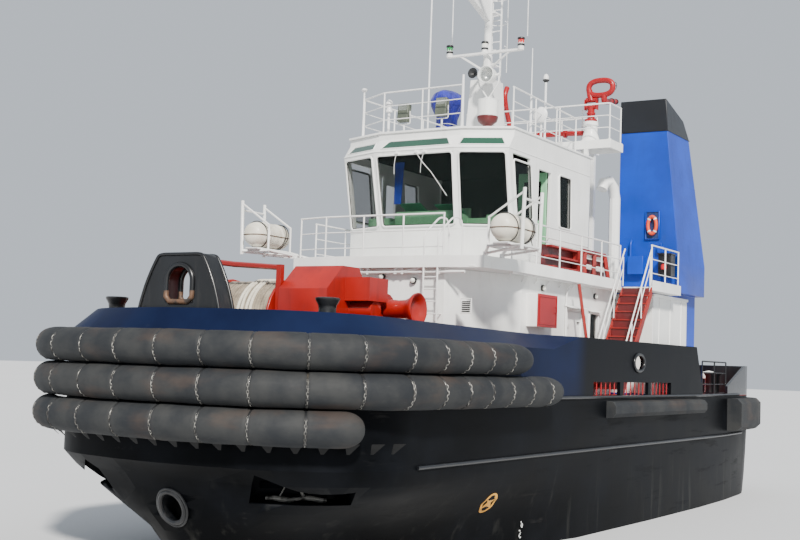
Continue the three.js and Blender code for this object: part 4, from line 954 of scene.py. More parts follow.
@dataclass
class BowFenders(Assembly):
    """Three stacked rubber tubes round the bow, held by chain lashings."""

    radius: float = 0.344
    levels: tuple[tuple[str, float, float, float], ...] = (
        ("bow_fender_top", 4.27, 6.75, 0.9), ("bow_fender_middle", 3.58, 5.11, 0.9),
        ("bow_fender_lower", 2.89, 12.37, 0.5))
    pitch: float = 0.96
    groove: float = 0.07
    chain_out: float = 0.004
    links: int = 32
    sides: int = 40

    def marks(self, length: float) -> Array:
        """Distances of the lashings along a tube, spread from its middle."""
        half = np.arange(self.pitch / 2, length / 2 - 0.35, self.pitch)
        return np.concatenate([length / 2 - half[::-1], length / 2 + half])

    def tube(self, z: float, end_x: float, taper: float) -> tuple[Surface, ...]:
        """One tube and its lashings.

        The radius is R (1 - g sum exp(-(d/w)^2)) with d the distance to each lashing, shrunk
        by a quarter circle over the tapered ends, with a few millimetres of slow swelling.

        Args:
            z: height of its centre.
            end_x: how far aft it reaches.
            taper: length of its tapered end.

        Returns:
            The rubber, the chains and the straps under them.
        """
        path = resampled(EDGE.round_bow(end_x, 0.3451, z), 0.022)
        along = distances(path)
        marks = self.marks(along[-1])
        dips = np.exp(-((along[:, None] - marks[None, :]) / 0.034) ** 2).sum(1)
        to_end = np.minimum(along, along[-1] - along)
        ends = np.sqrt(np.clip(1 - (1 - np.clip(to_end / taper, 0, 1)) ** 2.4, 0, 1))
        swell = 0.004 * np.sin(along * 2.1 + z) + 0.003 * np.sin(along * 5.3)
        radius = (self.radius - 0.009 + swell) * (1 - self.groove * dips)
        radius = np.maximum(radius * (0.25 + 0.75 * ends), 0.02)
        return Surface().tube(path, radius, self.sides), *self.lashings(path, along, marks, radius)

    def lashings(self, path: Array, along: Array, marks: Array,
                 radius: Array) -> tuple[Surface, Surface]:
        """Rings of chain over dark straps: link k sits at angle 2 pi k / n, every other turned."""
        link = Surface().ring(oval((0, 0, 0), 0.045 * X, 0.022 * Y, 8), 0.0085, 4)
        straps, places, turns = Surface(), [], []
        angles = 2 * np.pi * np.arange(self.links) / self.links
        keep = (np.cos(angles) > 0.1) & (np.sin(angles) < 0.62)
        for mark in marks:
            i = int(np.clip(np.searchsorted(along, mark), 1, len(path) - 2))
            centre = path[i]
            ahead = unit(path[i + 1] - path[i - 1])
            out = np.array([ahead[1], -ahead[0], 0.0])
            ring = float(np.interp(mark, along, radius)) + self.chain_out
            strap = ring - 0.022
            straps.ring(oval(centre, strap * out, strap * Z, angles), 0.036, 8)
            for k, angle in zip(np.arange(self.links)[keep], angles[keep]):
                radial = math.cos(angle) * out + math.sin(angle) * Z
                tangent = -math.sin(angle) * out + math.cos(angle) * Z
                side = np.cross(tangent, radial)
                places.append(centre + ring * radial)
                turns.append(np.stack([tangent, side, radial] if k % 2
                                      else [tangent, radial, -side], 1))
        return Surface().copies(link, np.array(places), np.array(turns)), straps

    def build(self) -> None:
        """Makes the three tubes with their lashings, and the lugs under them."""
        for name, z, end_x, taper in self.levels:
            tube, chains, straps = self.tube(z, end_x, taper)
            self.put(name + "_tube", tube, "fender_rubber", replaces=(name,), smooth=60)
            self.put(name + "_lashings", chains, "chain_steel", smooth=60, outward=False)
            self.put(name + "_straps", straps, "black_plastic", slot=Slot.RUBBER, smooth=60)
        self.shelf()

    def shelf(self) -> None:
        """Tapered lugs under the lowest tube, in near-black rubber that paints the shade under it.
        """
        lugs = Surface()
        path = resampled(EDGE.round_bow(11.7, 0.05, 2.5), 0.46)
        for place, along in zip(path, unit(np.gradient(path, axis=0))):
            out = np.array([along[1], -along[0], 0])
            corners = [place + along * ahead + out * reach + (0, 0, up) for ahead, reach, up in
                       ((-0.14, 0.3, 0.12), (0.14, 0.3, 0.12), (0.03, 0.1, -0.07),
                        (-0.03, 0.1, -0.07))]
            lugs.plate(corners, out * 0.02 + (0, 0, 0.015))
        # The lugs' near-black is painted shade under the lowest tube.
        self.put("fender_shelf_lugs", lugs, "black_and_shade_rubber", smooth=60)


@dataclass
class Numeral:
    """A plain seven-bar numeral drawn with flat bars."""

    digit: int
    height: float = 0.16

    BARS = {"a": ((0, 2), (1, 2)), "b": ((1, 1), (1, 2)), "c": ((1, 0), (1, 1)),
            "d": ((0, 0), (1, 0)), "e": ((0, 0), (0, 1)), "f": ((0, 1), (0, 2)),
            "g": ((0, 1), (1, 1))}
    LIT = ("abcdef", "bc", "abdeg", "abcdg", "bcfg", "acdfg", "acdefg", "abc", "abcdefg", "abcdfg")

    def bars(self, origin: Array, right: Array, up: Array, out: Array) -> Surface:
        """Flat bars of the numeral on a plane given by its right, up and outward directions."""
        bar = self.height / 2
        wide = self.height * 0.09
        surface = Surface()
        for letter in self.LIT[self.digit]:
            a, b = (origin + right * x * bar * 0.9 + up * y * bar for x, y in self.BARS[letter])
            along = unit(b - a)
            across = np.cross(out, along) * wide
            corners = [a - across - along * wide, b - across + along * wide,
                       b + across + along * wide, a + across - along * wide]
            surface.plate(corners, out * 0.004)
        return surface


@dataclass
class Hull(Assembly):
    """Hull skin and bulwarks with their marks, rims and bars."""

    side_y: float = 4.035
    mark_x: float = 5.17
    thruster_mark: tuple[float, float] = (6.87, 1.115)

    def side_at(self, x: float, z: float) -> float:
        """Half breadth of the hull at a place, found on the hull node itself."""
        place = node_skin("hull").ray_cast((x, 8.0, z), (0, -1, 0))[0]
        return place.y if place else self.side_y

    def build(self) -> None:
        """Dresses the hull and bulwarks and adds what is welded and painted on them."""
        self.dress("hull", "hull_enamel", smooth=28)
        self.dress("bulwark", "bulwark_enamel", bevel=0.012, smooth=35)
        self.dress("stern_bulwark", "black_enamel", bevel=0.01, smooth=35)
        self.marks()
        self.rings()
        self.bars()

    def marks(self) -> None:
        """Draught numerals, and the round thruster mark with its cross, on both sides."""
        white, yellow = Surface(), Surface()
        for digit, z in ((2, 0.2), (6, 0.44)):
            origin = np.array([self.mark_x + 0.07, self.side_at(self.mark_x, z + 0.05) + 0.004, z])
            bars = Numeral(digit).bars(origin, -X, Z, Y)
            white.add(np.concatenate(bars.points), bars.faces)
        self.put("draught_numerals", white.mirrored(), "white_enamel")
        x, z = self.thruster_mark
        base = np.array([x, 0, z])
        wide, slim = (self.on_side(oval(base, r * X, r * Z, 32), 0.006) for r in (0.23, 0.18))
        depth = 0.012 * Y
        yellow.grid(np.stack([wide, slim, slim - depth, wide - depth]), wrap_rows=True)
        for turn in (math.pi / 4, -math.pi / 4):
            d = (math.cos(turn) * X + math.sin(turn) * Z) * 0.2
            n = (math.cos(turn) * Z - math.sin(turn) * X) * 0.045
            corners = np.array([base + d + n, base - d + n, base - d - n, base + d - n])
            yellow.plate(self.on_side(corners, -0.004), (0, 0.01, 0))
        self.put("thruster_mark", yellow.mirrored(), "mark_enamel")

    def rings(self) -> None:
        """Rims of the bellmouth at the stem and of the fairleads."""
        rims = Surface()
        for reach, thick in ((0.30, 0.05), (0.36, 0.03)):
            ring = oval((13.18, 0, 1.2), reach * Y, reach * Z, 40)
            rims.ring(self.on_stem(ring), thick, 8)
        self.put("bellmouth_rim", rims, "black_enamel")
        fairleads = Surface().ring(oval((-0.94, 4.05, 4.33), 0.38 * X, 0.23 * Z, 40), 0.045)
        self.put("fairlead_rims", fairleads.mirrored(), "black_enamel")

    def on_side(self, ring: Array, lift: float) -> Array:
        """Points moved along Y onto the side of the hull node and lifted off it."""
        placed = ring.copy()
        placed[:, 1] = [self.side_at(x, z) + lift for x, _, z in ring]
        return placed

    def on_stem(self, ring: Array) -> Array:
        """Points moved along X onto the stem of the hull node."""
        placed = ring.copy()
        for k, (_, y, z) in enumerate(ring):
            place = node_skin("hull").ray_cast((16.0, y, z), (-1, 0, 0))[0]
            if place:
                placed[k, 0] = place.x + 0.01
        return placed

    def bars(self) -> None:
        """Round rubbing bars along the hull, and upright bars in the freeing ports."""
        bars = Surface()
        for z, start, end in ((3.42, 5.0, -11.0), (2.12, 11.0, -11.5)):
            points, normals = EDGE.half(0.25)
            keep = (points[:, 0] < start) & (points[:, 0] > end)
            bars.tube([(x, y, z) for x, y in points[keep] + normals[keep] * 0.012], 0.045, 8)
        self.put("sheer_bars", bars.mirrored(), "black_enamel")
        ports = Surface()
        for start, end in ((2.18, 0.38), (0.13, -1.72), (-1.93, -3.6)):
            for x in np.linspace(start, end, 7)[1:-1]:
                ports.tube([(x, 3.99, 3.44), (x, 3.99, 3.82)], 0.016, 8)
        self.put("freeing_port_bars", ports.mirrored(), "fire_enamel", slot=Slot.WINCH)


@dataclass
class GuardRails(Assembly):
    """All guard rails on the bridge deck, roof and fire deck."""

    bridge_z: float = 6.505
    roof_z: float = 10.105
    fire_z: float = 10.585
    rows: int = 3
    spacing: float = 1.35
    radius: float = 0.022
    corner: float = 0.12

    def railing(self, corners: Array, height: float) -> Surface:
        """Flanged posts, a top rail with bent corners and thinner rows below it."""
        surface = Surface()
        r = self.radius
        for row in range(1, self.rows + 1):
            top = row == self.rows
            path = rounded(corners + (0, 0, height * row / self.rows), self.corner)
            surface.tube(path, r if top else r * 0.62, 10 if top else 8)
        foot = [(0, 0), (0.055, 0), (0.055, 0.012), (r, 0.014), (r, 0.05), (0, 0.05)]
        for k, (a, b) in enumerate(zip(corners[:-1], corners[1:])):
            count = max(1, int(round(np.linalg.norm(b - a) / self.spacing)))
            inset = 0.02 * unit(b - a)
            for post in line(a, b, count + 1)[0 if k == 0 else 1:]:
                base = post + inset * (int(np.allclose(post, a)) - int(np.allclose(post, b)))
                surface.tube([base + (0, 0, 0.004), base + (0, 0, height - 0.004)], r)
                surface.lathe(foot, base, segments=10)
        return surface

    def build(self) -> None:
        """Makes each rail along its deck edge, in place of its plain node."""
        bridge, roof, fire = self.bridge_z, self.roof_z, self.fire_z
        rails = [
            ("roof_rail", roof, 1.09, [(4.24, 1.17), (4.14, -1.26), (3.58, -2.24), (-0.85, -2.06)]),
            ("roof_rail_port", roof, 1.09, [(3.53, 2.24), (-0.85, 2.06)]),
            ("fire_deck_rail", fire, 1.03, [(-1.9, 2.99), (-1.04, 2.99), (-1.04, -1.6)]),
            ("fire_deck_rail_aft", fire, 1.09,
             [(-2.0, 1.74), (-3.14, 1.74), (-3.14, -1.74), (-2.0, -1.74)]),
            ("bridge_front_rail", bridge, 1.19, [(5.96, 1.74), (5.96, -1.7), (5.74, -2.62)]),
        ]
        for side, s in SIDES.items():
            for name, ends in (("bridge_side_rail_", ((4.7, 2.89), (-2.33, 2.89))),
                               ("landing_rail_", ((-2.33, 3.83), (-4.64, 3.83)))):
                rails.append((name + side, bridge, 1.19, [(x, s * y) for x, y in ends]))
        for name, z, height, plan in rails:
            surface = self.railing(np.array([(x, y, z) for x, y in plan]), height)
            self.put(name + "_pipes", surface, "rail_enamel", replaces=(name,), smooth=50)
        self.bow_rails()

    def bow_rails(self) -> None:
        """Bent handrails of the ladder at the front of the bridge deck, and its steps."""
        rails, steps = Surface(), Surface()
        for y in (1.24, 1.62):
            rails.tube([(6.02, y, 3.75), (6.02, y, 6.5)], 0.018, 8)
            path = [(6.02, y, 5.7), (6.04, y, 6.2), (6.04, y, 7.2), (5.5, y + 0.1, 7.66),
                    (5.2, y + 0.14, 7.66), (5.12, y + 0.15, 7.4), (5.1, y + 0.15, 6.51)]
            rails.tube(rounded(path, 0.12), 0.022, 10)
        for z in np.arange(3.85, 6.4, 0.29):
            steps.tube([(6.02, 1.24, z), (6.02, 1.62, z)], 0.014, 8)
        for z in (4.1, 5.3, 6.3):
            for y in (1.24, 1.62):
                steps.tube([(6.02, y, z), (5.8, y, z)], 0.014, 8)
        self.put("front_ladder_rails", rails, "rail_enamel", smooth=50)
        self.put("front_ladder_steps", steps, "rail_enamel", smooth=50)


@dataclass
class Wall:
    """A flat four-cornered wall that windows are set into, read by its share along and height."""

    a: Array
    b: Array
    a_top: Array
    b_top: Array

    def at(self, share: Array | float, z: Array | float) -> Array:
        """Points on the wall: the sill and the top are mixed by height, their ends by share."""
        share, z = np.asarray(share)[..., None], np.asarray(z)[..., None]
        rise = (z - self.a[2]) / (self.a_top[2] - self.a[2])
        low = self.a * (1 - share) + self.b * share
        high = self.a_top * (1 - share) + self.b_top * share
        return low * (1 - rise) + high * rise

    def outward(self) -> Array:
        """Unit vector out of the wall, away from the middle of the wheelhouse."""
        n = unit(np.cross(self.b - self.a, self.a_top - self.a))
        return n if n @ (self.at(0.5, self.a[2]) - (1.5, 0, self.a[2])) > 0 else -n

    def length(self) -> float:
        """Length of the sill in metres."""
        return float(np.linalg.norm(self.b - self.a))

    def pane(self, s0: float, s1: float, z0: float, z1: float, radius: float, out: float) -> Array:
        """Outline of a window with rounded corners, lifted off the wall.

        Each corner is a quarter circle of the radius, worked out in metres along the wall and
        turned back into shares.

        Args:
            s0: share along the wall where the window starts.
            s1: share where it ends.
            z0: height of its lower edge.
            z1: height of its upper edge.
            radius: corner radius in metres.
            out: distance off the wall.

        Returns:
            Points round the window.
        """
        wide = radius / self.length()
        corners = np.array([(s1 - wide, z1 - radius), (s0 + wide, z1 - radius),
                            (s0 + wide, z0 + radius), (s1 - wide, z0 + radius)])
        turn = np.linspace(0, np.pi / 2, 6) + np.arange(4)[:, None] * np.pi / 2
        shares = corners[:, :1] + wide * np.cos(turn)
        heights = corners[:, 1:] + radius * np.sin(turn)
        return self.at(shares.ravel(), heights.ravel()) + self.outward() * out


@dataclass
class Wheelhouse(Assembly):
    """Raised wheelhouse: panes, frames, brow strips, wipers, doors and what shows inside."""

    sill_z: float = 7.53
    knuckle_z: float = 9.53
    brow_z: float = 9.88
    window: tuple[float, float] = (7.62, 9.43)
    side_window: tuple[float, float] = (7.87, 9.28)

    def walls(self) -> dict[str, Wall]:
        """The front, corner and side walls from their sill and knuckle corners."""
        sills = ((4.25, 1.14), (3.72, 2.44), (-1.0, 2.44))
        knuckles = ((4.64, 1.2), (4.14, 2.46), (-1.0, 2.46))
        port, starboard = ([np.array([(x, y * s, z) for x, y in plan]) for plan, z in
                            ((sills, self.sill_z), (knuckles, self.knuckle_z))]
                           for s in SIDES.values())
        walls = {"front": Wall(port[0][0], starboard[0][0], port[1][0], starboard[1][0])}
        for side, (sill, knuckle) in zip(SIDES, (port, starboard)):
            for k, name in enumerate(("corner_", "side_")):
                walls[name + side] = Wall(sill[k], sill[k + 1], knuckle[k], knuckle[k + 1])
        return walls

    def build(self) -> None:
        """Dresses the nodes, then adds what is fitted to them and what shows inside."""
        self.dress("wheelhouse", "white_enamel", bevel=0.012, smooth=35)
        self.dress("wheelhouse_roof", "white_enamel", bevel=0.012, smooth=35)
        self.frames()
        self.brow_strips()
        self.wipers()
        self.doors()
        self.inside()
        self.plinth()
        self.trims()

    def frames(self) -> None:
        """A pane in each opening, with a white rim round it and a black gasket inside."""
        walls = self.walls()
        panes = [("front", 0.03, 0.97, *self.window)]
        for side in SIDES:
            panes.append(("corner_" + side, 0.06, 0.94, *self.window))
            panes.append(("side_" + side, 0.04, 0.24, *self.side_window))
            panes.append(("side_" + side, 0.58, 0.74, *self.side_window))
        rims, gaskets, glass = Surface(), Surface(), Surface()
        for y in (-1.9, -0.5, 0.9):
            glass.block((-0.96, y, 8.0), (-0.95, y + 1.0, 9.3))
        for name, s0, s1, z0, z1 in panes:
            wall = walls[name]
            glass.plate(wall.pane(s0, s1, z0, z1, 0.09, -0.035), wall.outward() * -0.01)
            rims.ring(wall.pane(s0, s1, z0, z1, 0.09, 0.012), 0.026, 8)
            inset = 0.03 / wall.length()
            gaskets.ring(wall.pane(s0 + inset, s1 - inset, z0 + 0.03, z1 - 0.03, 0.07, -0.004),
                         0.012, 6)
        self.put("window_panes", glass, "cabin_glass", replaces=("wheelhouse_glazing",))
        self.put("window_rims", rims, "white_enamel", smooth=60)
        self.put("window_gaskets", gaskets, "black_and_shade_rubber", smooth=60)

    def brow_strips(self) -> None:
        """Dark green light strips in the sloping brow, each with a raised white rim."""
        glass, rims = Surface(), Surface()
        for name, wall in self.walls().items():
            a, b = wall.a_top, wall.b_top
            out = wall.outward() * (1, 1, 0)
            back = -0.28 * unit(out) + (0, 0, self.brow_z - self.knuckle_z)
            if name.startswith("side"):
                shares, ends = (0.03, 0.17), (0.035, 0.15)
            else:
                shares, ends = (0.07, 0.93), (0.14, 0.86)
            normal = unit(np.cross(b - a, back))
            normal *= np.sign(normal @ (out + (0, 0, 0.3)))
            ring = np.array([a + (b - a) * share + back * up for share, up in
                             ((shares[0], 0.22), (shares[1], 0.22), (ends[1], 0.82),
                              (ends[0], 0.82))]) + normal * 0.006
            glass.plate(ring, normal * 0.006)
            seam = (ring[0] + ring[3]) / 2
            rims.ring(rounded([seam, *ring, seam], 0.05)[:-1] + normal * 0.006, 0.014, 6)
        self.put("brow_strips", glass, "strip_glass", smooth=30)
        self.put("brow_strip_rims", rims, "white_enamel", smooth=60)

    def wipers(self) -> None:
        """Motor boxes above the wide pane, their curved arms and blades."""
        boxes, arms = Surface(), Surface()
        wall = self.walls()["front"]
        out = wall.outward()
        for share, swing in ((0.36, 0.12), (0.46, -0.35), (0.70, 0.1)):
            foot = wall.at(share, 9.47) + out * 0.05
            boxes.lathe([(0, -0.05), (0.045, -0.05), (0.05, 0.02), (0.03, 0.05), (0, 0.05)],
                        foot, Axis.X, 14)
            tip = wall.at(share + swing * 0.5, 8.95) + out * 0.05
            knee = (foot + tip) / 2 + out * 0.06
            arms.tube(rounded([foot, knee, tip], 0.2), 0.008, 6)
            if abs(swing) > 0.3:
                low = wall.at(share + swing, 8.35) + out * 0.035
                arms.tube([tip, low], 0.007, 6)
        self.put("wiper_motors", boxes, "white_enamel", smooth=50)
        self.put("wiper_arms", arms, "rail_enamel", smooth=60)

    def doors(self) -> None:
        """Gives both doors their enamel and a lever handle."""
        for side in SIDES:
            name, body = f"wheelhouse_door_{side}", f"bridge_door_{side}"
            self.dress(name, "white_enamel" if side == "starboard" else "mint_enamel", body=body,
                       slot=Slot.WHITE, bevel=0.006, smooth=35)
            low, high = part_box(name)
            middle = (low + high) / 2
            if side == "port":
                place = np.array([middle.x, low.y + 0.12, 8.15])
                along, reach = 0.07 * X, 0.13 * Y
            else:
                place = np.array([low.x + 0.12, middle.y, 8.15])
                along, reach = 0.07 * Y, 0.13 * X
            levers = Surface().tube([place - along, place + along], 0.014, 8)
            for hub in (place - along, place + along):
                levers.tube([hub, hub + reach], 0.011, 8)
            self.put(name + "_lever", levers, "bright_steel", body=body, smooth=60)

    def inside(self) -> None:
        """Painted-shade sheets, green desk tops, the console and a curtain behind the glass."""
        # Painted shade: matte near-black sheets under the ceiling and on the back wall of the
        # cabin.
        shade_sheet = Surface()
        shade_sheet.block((-0.9, -2.3, 9.62), (3.9, 2.3, 9.66))
        shade_sheet.block((-0.93, -2.3, 7.16), (-0.9, 2.3, 9.62))
        self.put("cabin_shade_sheet", shade_sheet, "dark_shade_sheet", smooth=30)
        desk = Surface()
        for y0, y1, lean in ((-0.85, -0.2, 0.16), (0.2, 0.85, 0.1)):
            desk.plate(rectangle((3.3, y0, 8.02), (3.85, y1, 8.1 + lean), 1), (0, 0, 0.02))
        self.put("desk_tops", desk, "green_enamel", bevel=0.006, smooth=30)
        self.dress("helm_console", "mint_enamel", bevel=0.01, smooth=30)
        t = np.linspace(0, 1, 60)
        wave = 0.02 * np.sin(t * 44)
        rows = [np.stack([3.95 + wave * (0.6 + 0.4 * k), -0.95 + 0.28 * t * (1 - 0.25 * k),
                          np.full(60, 9.35 - 1.1 * k)], 1) for k in np.linspace(0, 1, 5)]
        curtain = Surface().grid(np.stack(rows), wrap_columns=False, caps=False)
        sheet = self.put("window_curtain", curtain, "blue_curtain", smooth=70, outward=False)

    def plinth(self) -> None:
        """Deck-red steps and a trestle with white boards beside the wheelhouse's foot."""
        clad, boards, legs, back = Surface(), Surface(), Surface(), Surface()
        # The dark red plate behind the boards and steps is partly their own dark red and partly
        # painted shade in the gaps between them.
        back.block((-2.1, 2.455, 6.505), (2.1, 2.49, 7.32))
        for k, z in enumerate((6.72, 7.0, 7.28)):
            clad.block((0.15, 2.45, z), (2.1 - 0.12 * k, 2.8 - 0.08 * k, z + 0.05))
            boards.block((-2.1, 2.5, z - 0.1), (-0.05, 2.54, z + 0.03))
        clad.block((0.13, 2.45, 6.505), (0.15, 2.8, 7.33))
        for (x0, z0), (x1, z1) in (((-0.2, 7.36), (0.26, 6.5)), ((-0.4, 7.4), (-0.4, 6.5)),
                                   ((-1.1, 7.4), (-1.05, 6.5)), ((-1.85, 7.36), (-2.25, 6.5)),
                                   ((-0.16, 7.36), (-1.9, 7.36))):
            legs.tube([(x0, 2.6, z0), (x1, 2.6, z1)], 0.07, 4)
        self.put("side_backing", back.mirrored(), "dark_red_enamel")
        self.put("side_steps", clad.mirrored(), "deck_enamel", smooth=30)
        self.put("side_boards", boards.mirrored(), "white_enamel")
        self.put("side_trestle", legs.mirrored(), "deck_enamel")

    def trims(self) -> None:
        """Thin weld beads along the knuckle and the sill."""
        beads = Surface()
        for wall in self.walls().values():
            out = wall.outward() * 0.004
            for low, high in ((wall.a_top, wall.b_top), (wall.a, wall.b)):
                beads.tube([low + out, high + out], 0.009, 6)
        self.put("wheelhouse_beads", beads, "white_enamel", smooth=60)


@dataclass
class BowGear(Assembly):
    """Towing staple and winch: lips, rope, handwheels, bolts and hoses."""

    staple_x: tuple[float, float] = (12.81, 13.23)
    mouth: tuple[float, float, float] = (0.33, 5.15, 5.56)
    outside: tuple[tuple[float, float], ...] = (
        (1.2, 3.45), (1.12, 4.3), (1.01, 5.05), (0.86, 5.5), (0.7, 5.83), (0.56, 6.06),
        (0.43, 6.08))
    drum: Point = (10.3, -1.02, 4.93)
    rope_radius: float = 0.036

    def build(self) -> None:
        """Makes the staple, the wound hawser and the winch's small gear."""
        self.dress("towing_staple", "black_enamel", bevel=0.03)
        self.staple_lips()
        self.wound_hawser()
        self.dress("winch_frame", "winch_enamel", bevel=0.02)
        self.dress("winch_drum", "winch_enamel", body="drum", bevel=0.012)
        self.warping_head()
        self.small_gear()
        self.bollards()

    def staple_lips(self) -> None:
        """Rolled lips: tubes along the arch outline and round the worn mouth, on both faces."""
        lips, worn = Surface(), Surface()
        half, low, spring = self.mouth
        t = np.linspace(0, np.pi, 17)
        arch = np.stack([half * np.cos(t), spring + half * 0.95 * np.sin(t)], 1)
        arch = np.concatenate([[(half, low + 0.22)], arch, [(-half, low + 0.22)]])
        sill = [(-half, low + 0.22), (-half, low + 0.1), (-half + 0.1, low), (half - 0.1, low),
                (half, low + 0.1), (half, low + 0.22)]
        rim = np.concatenate([self.outside, [(-y, z) for y, z in reversed(self.outside)]])
        for x in self.staple_x:
            lips.tube(rounded([(x, *at) for at in rim], 0.18), 0.035)
            lips.tube([(x, *at) for at in arch], 0.055)
            worn.tube([(x, *at) for at in sill], 0.056)
        self.put("staple_rims", lips, "black_enamel", smooth=60)
        self.put("staple_mouth", worn, "rusty_steel", smooth=60)

    def wound_hawser(self) -> None:
        """A helix of rope: turn angle a gives (r cos a, y0 + pitch a / 2 pi, r sin a)."""
        x, y, z = self.drum
        pitch = self.rope_radius * 2.04
        core = Surface().disc(0.77, 0, 1.52, (x, y, z), Axis.Y, 48)
        turns = 1.5 / pitch
        a = np.linspace(0, 2 * np.pi * turns, int(turns * 44))
        r = 0.79 + 0.006 * np.sin(a * 0.37)
        drift = y + 0.03 + pitch * a / (2 * np.pi)
        lay = np.stack([x + r * np.cos(a), drift, z + r * np.sin(a)], 1)
        core.tube(lay, self.rope_radius, 6)
        self.put("wound_hawser", core, "hawser_fibre", body="drum", replaces=("drum_hawser",),
                 smooth=60)
        b = np.linspace(0, 2 * np.pi * 3.4, 170)
        drift = y + 0.78 + 0.055 * b / np.pi + 0.03 * np.sin(b * 0.5)
        over = np.stack([x + 0.845 * np.cos(b), drift, z + 0.845 * np.sin(b)], 1)
        self.put("hawser_top_turns", Surface().tube(over, 0.034, 8), "new_hawser", body="drum",
                 smooth=60)

    def warping_head(self) -> None:
        """A turned barrel with a wide flared end, hollow at its mouth."""
        profile = [(0, 0.02), (0.21, 0.02), (0.205, 0.1), (0.19, 0.3), (0.2, 0.48), (0.25, 0.6),
                   (0.33, 0.7), (0.348, 0.755), (0.34, 0.778), (0.3, 0.765), (0.24, 0.68),
                   (0.12, 0.62), (0.0, 0.61)]
        head = Surface().lathe(profile, (9.4, 2.362, 5.23), Axis.Y, 40)
        self.put("warping_barrel_head", head, "winch_enamel", body="warping_barrel",
                 replaces=("warping_head",), smooth=50)

    def small_gear(self) -> None:
        """Handwheels, a lever with a black knob, bolt rings, and hoses beside the gear case."""
        wheels, bolts, hoses = Surface(), Surface(), Surface()
        for x, y, z, reach in ((9.35, 1.75, 5.84, 0.17), (9.9, 2.1, 5.35, 0.13)):
            wheels.ring(oval((x, y, z), reach * X, reach * Y, 28), 0.016, 8)
            wheels.rods([((x - reach, y, z), (x + reach, y, z)),
                         ((x, y - reach, z), (x, y + reach, z)),
                         ((x, y, z - 0.22), (x, y, z + 0.01))], 0.012)
        wheels.tube([(9.55, 1.35, 5.7), (9.6, 1.38, 6.02)], 0.01, 6)
        wheels.lathe([(0, -0.03), (0.025, -0.02), (0.03, 0.0), (0.02, 0.025), (0, 0.03)],
                     (9.6, 1.38, 6.03), segments=10)
        self.put("winch_handwheels", wheels, "black_plastic", smooth=60)
        for y, ring in ((2.345, 0.29), (1.62, 0.4)):
            for centre in oval((9.4, y, 5.23), ring * X, ring * Z, 14):
                bolts.disc(0.016, -0.02, 0.02, centre, Axis.Y, 6)
        self.put("winch_bolts", bolts, "winch_enamel", smooth=30)
        for k in range(4):
            y = 1.0 + 0.09 * k
            path = [(9.15, y, 3.5), (9.02 - 0.02 * k, y, 3.9), (9.0, y + 0.2, 4.5), (9.1, y, 4.95)]
            hoses.tube(rounded(path, 0.4), 0.02, 8)
        self.put("winch_pipes", hoses, "black_plastic", smooth=60)

    def bollards(self) -> None:
        """Waisted posts with flared caps, stood over the cast ones on the bow."""
        posts = Surface()
        profile = [(0, -0.3), (0.2, -0.3), (0.18, -0.16), (0.168, -0.06), (0.178, 0.02),
                   (0.235, 0.12), (0.24, 0.16), (0.2, 0.172), (0.06, 0.175), (0, 0.175)]
        posts.lathe(profile, (12.1, 2.72, 5.14), segments=32)
        self.put("bow_bollards", posts.mirrored(), "black_enamel", smooth=50)


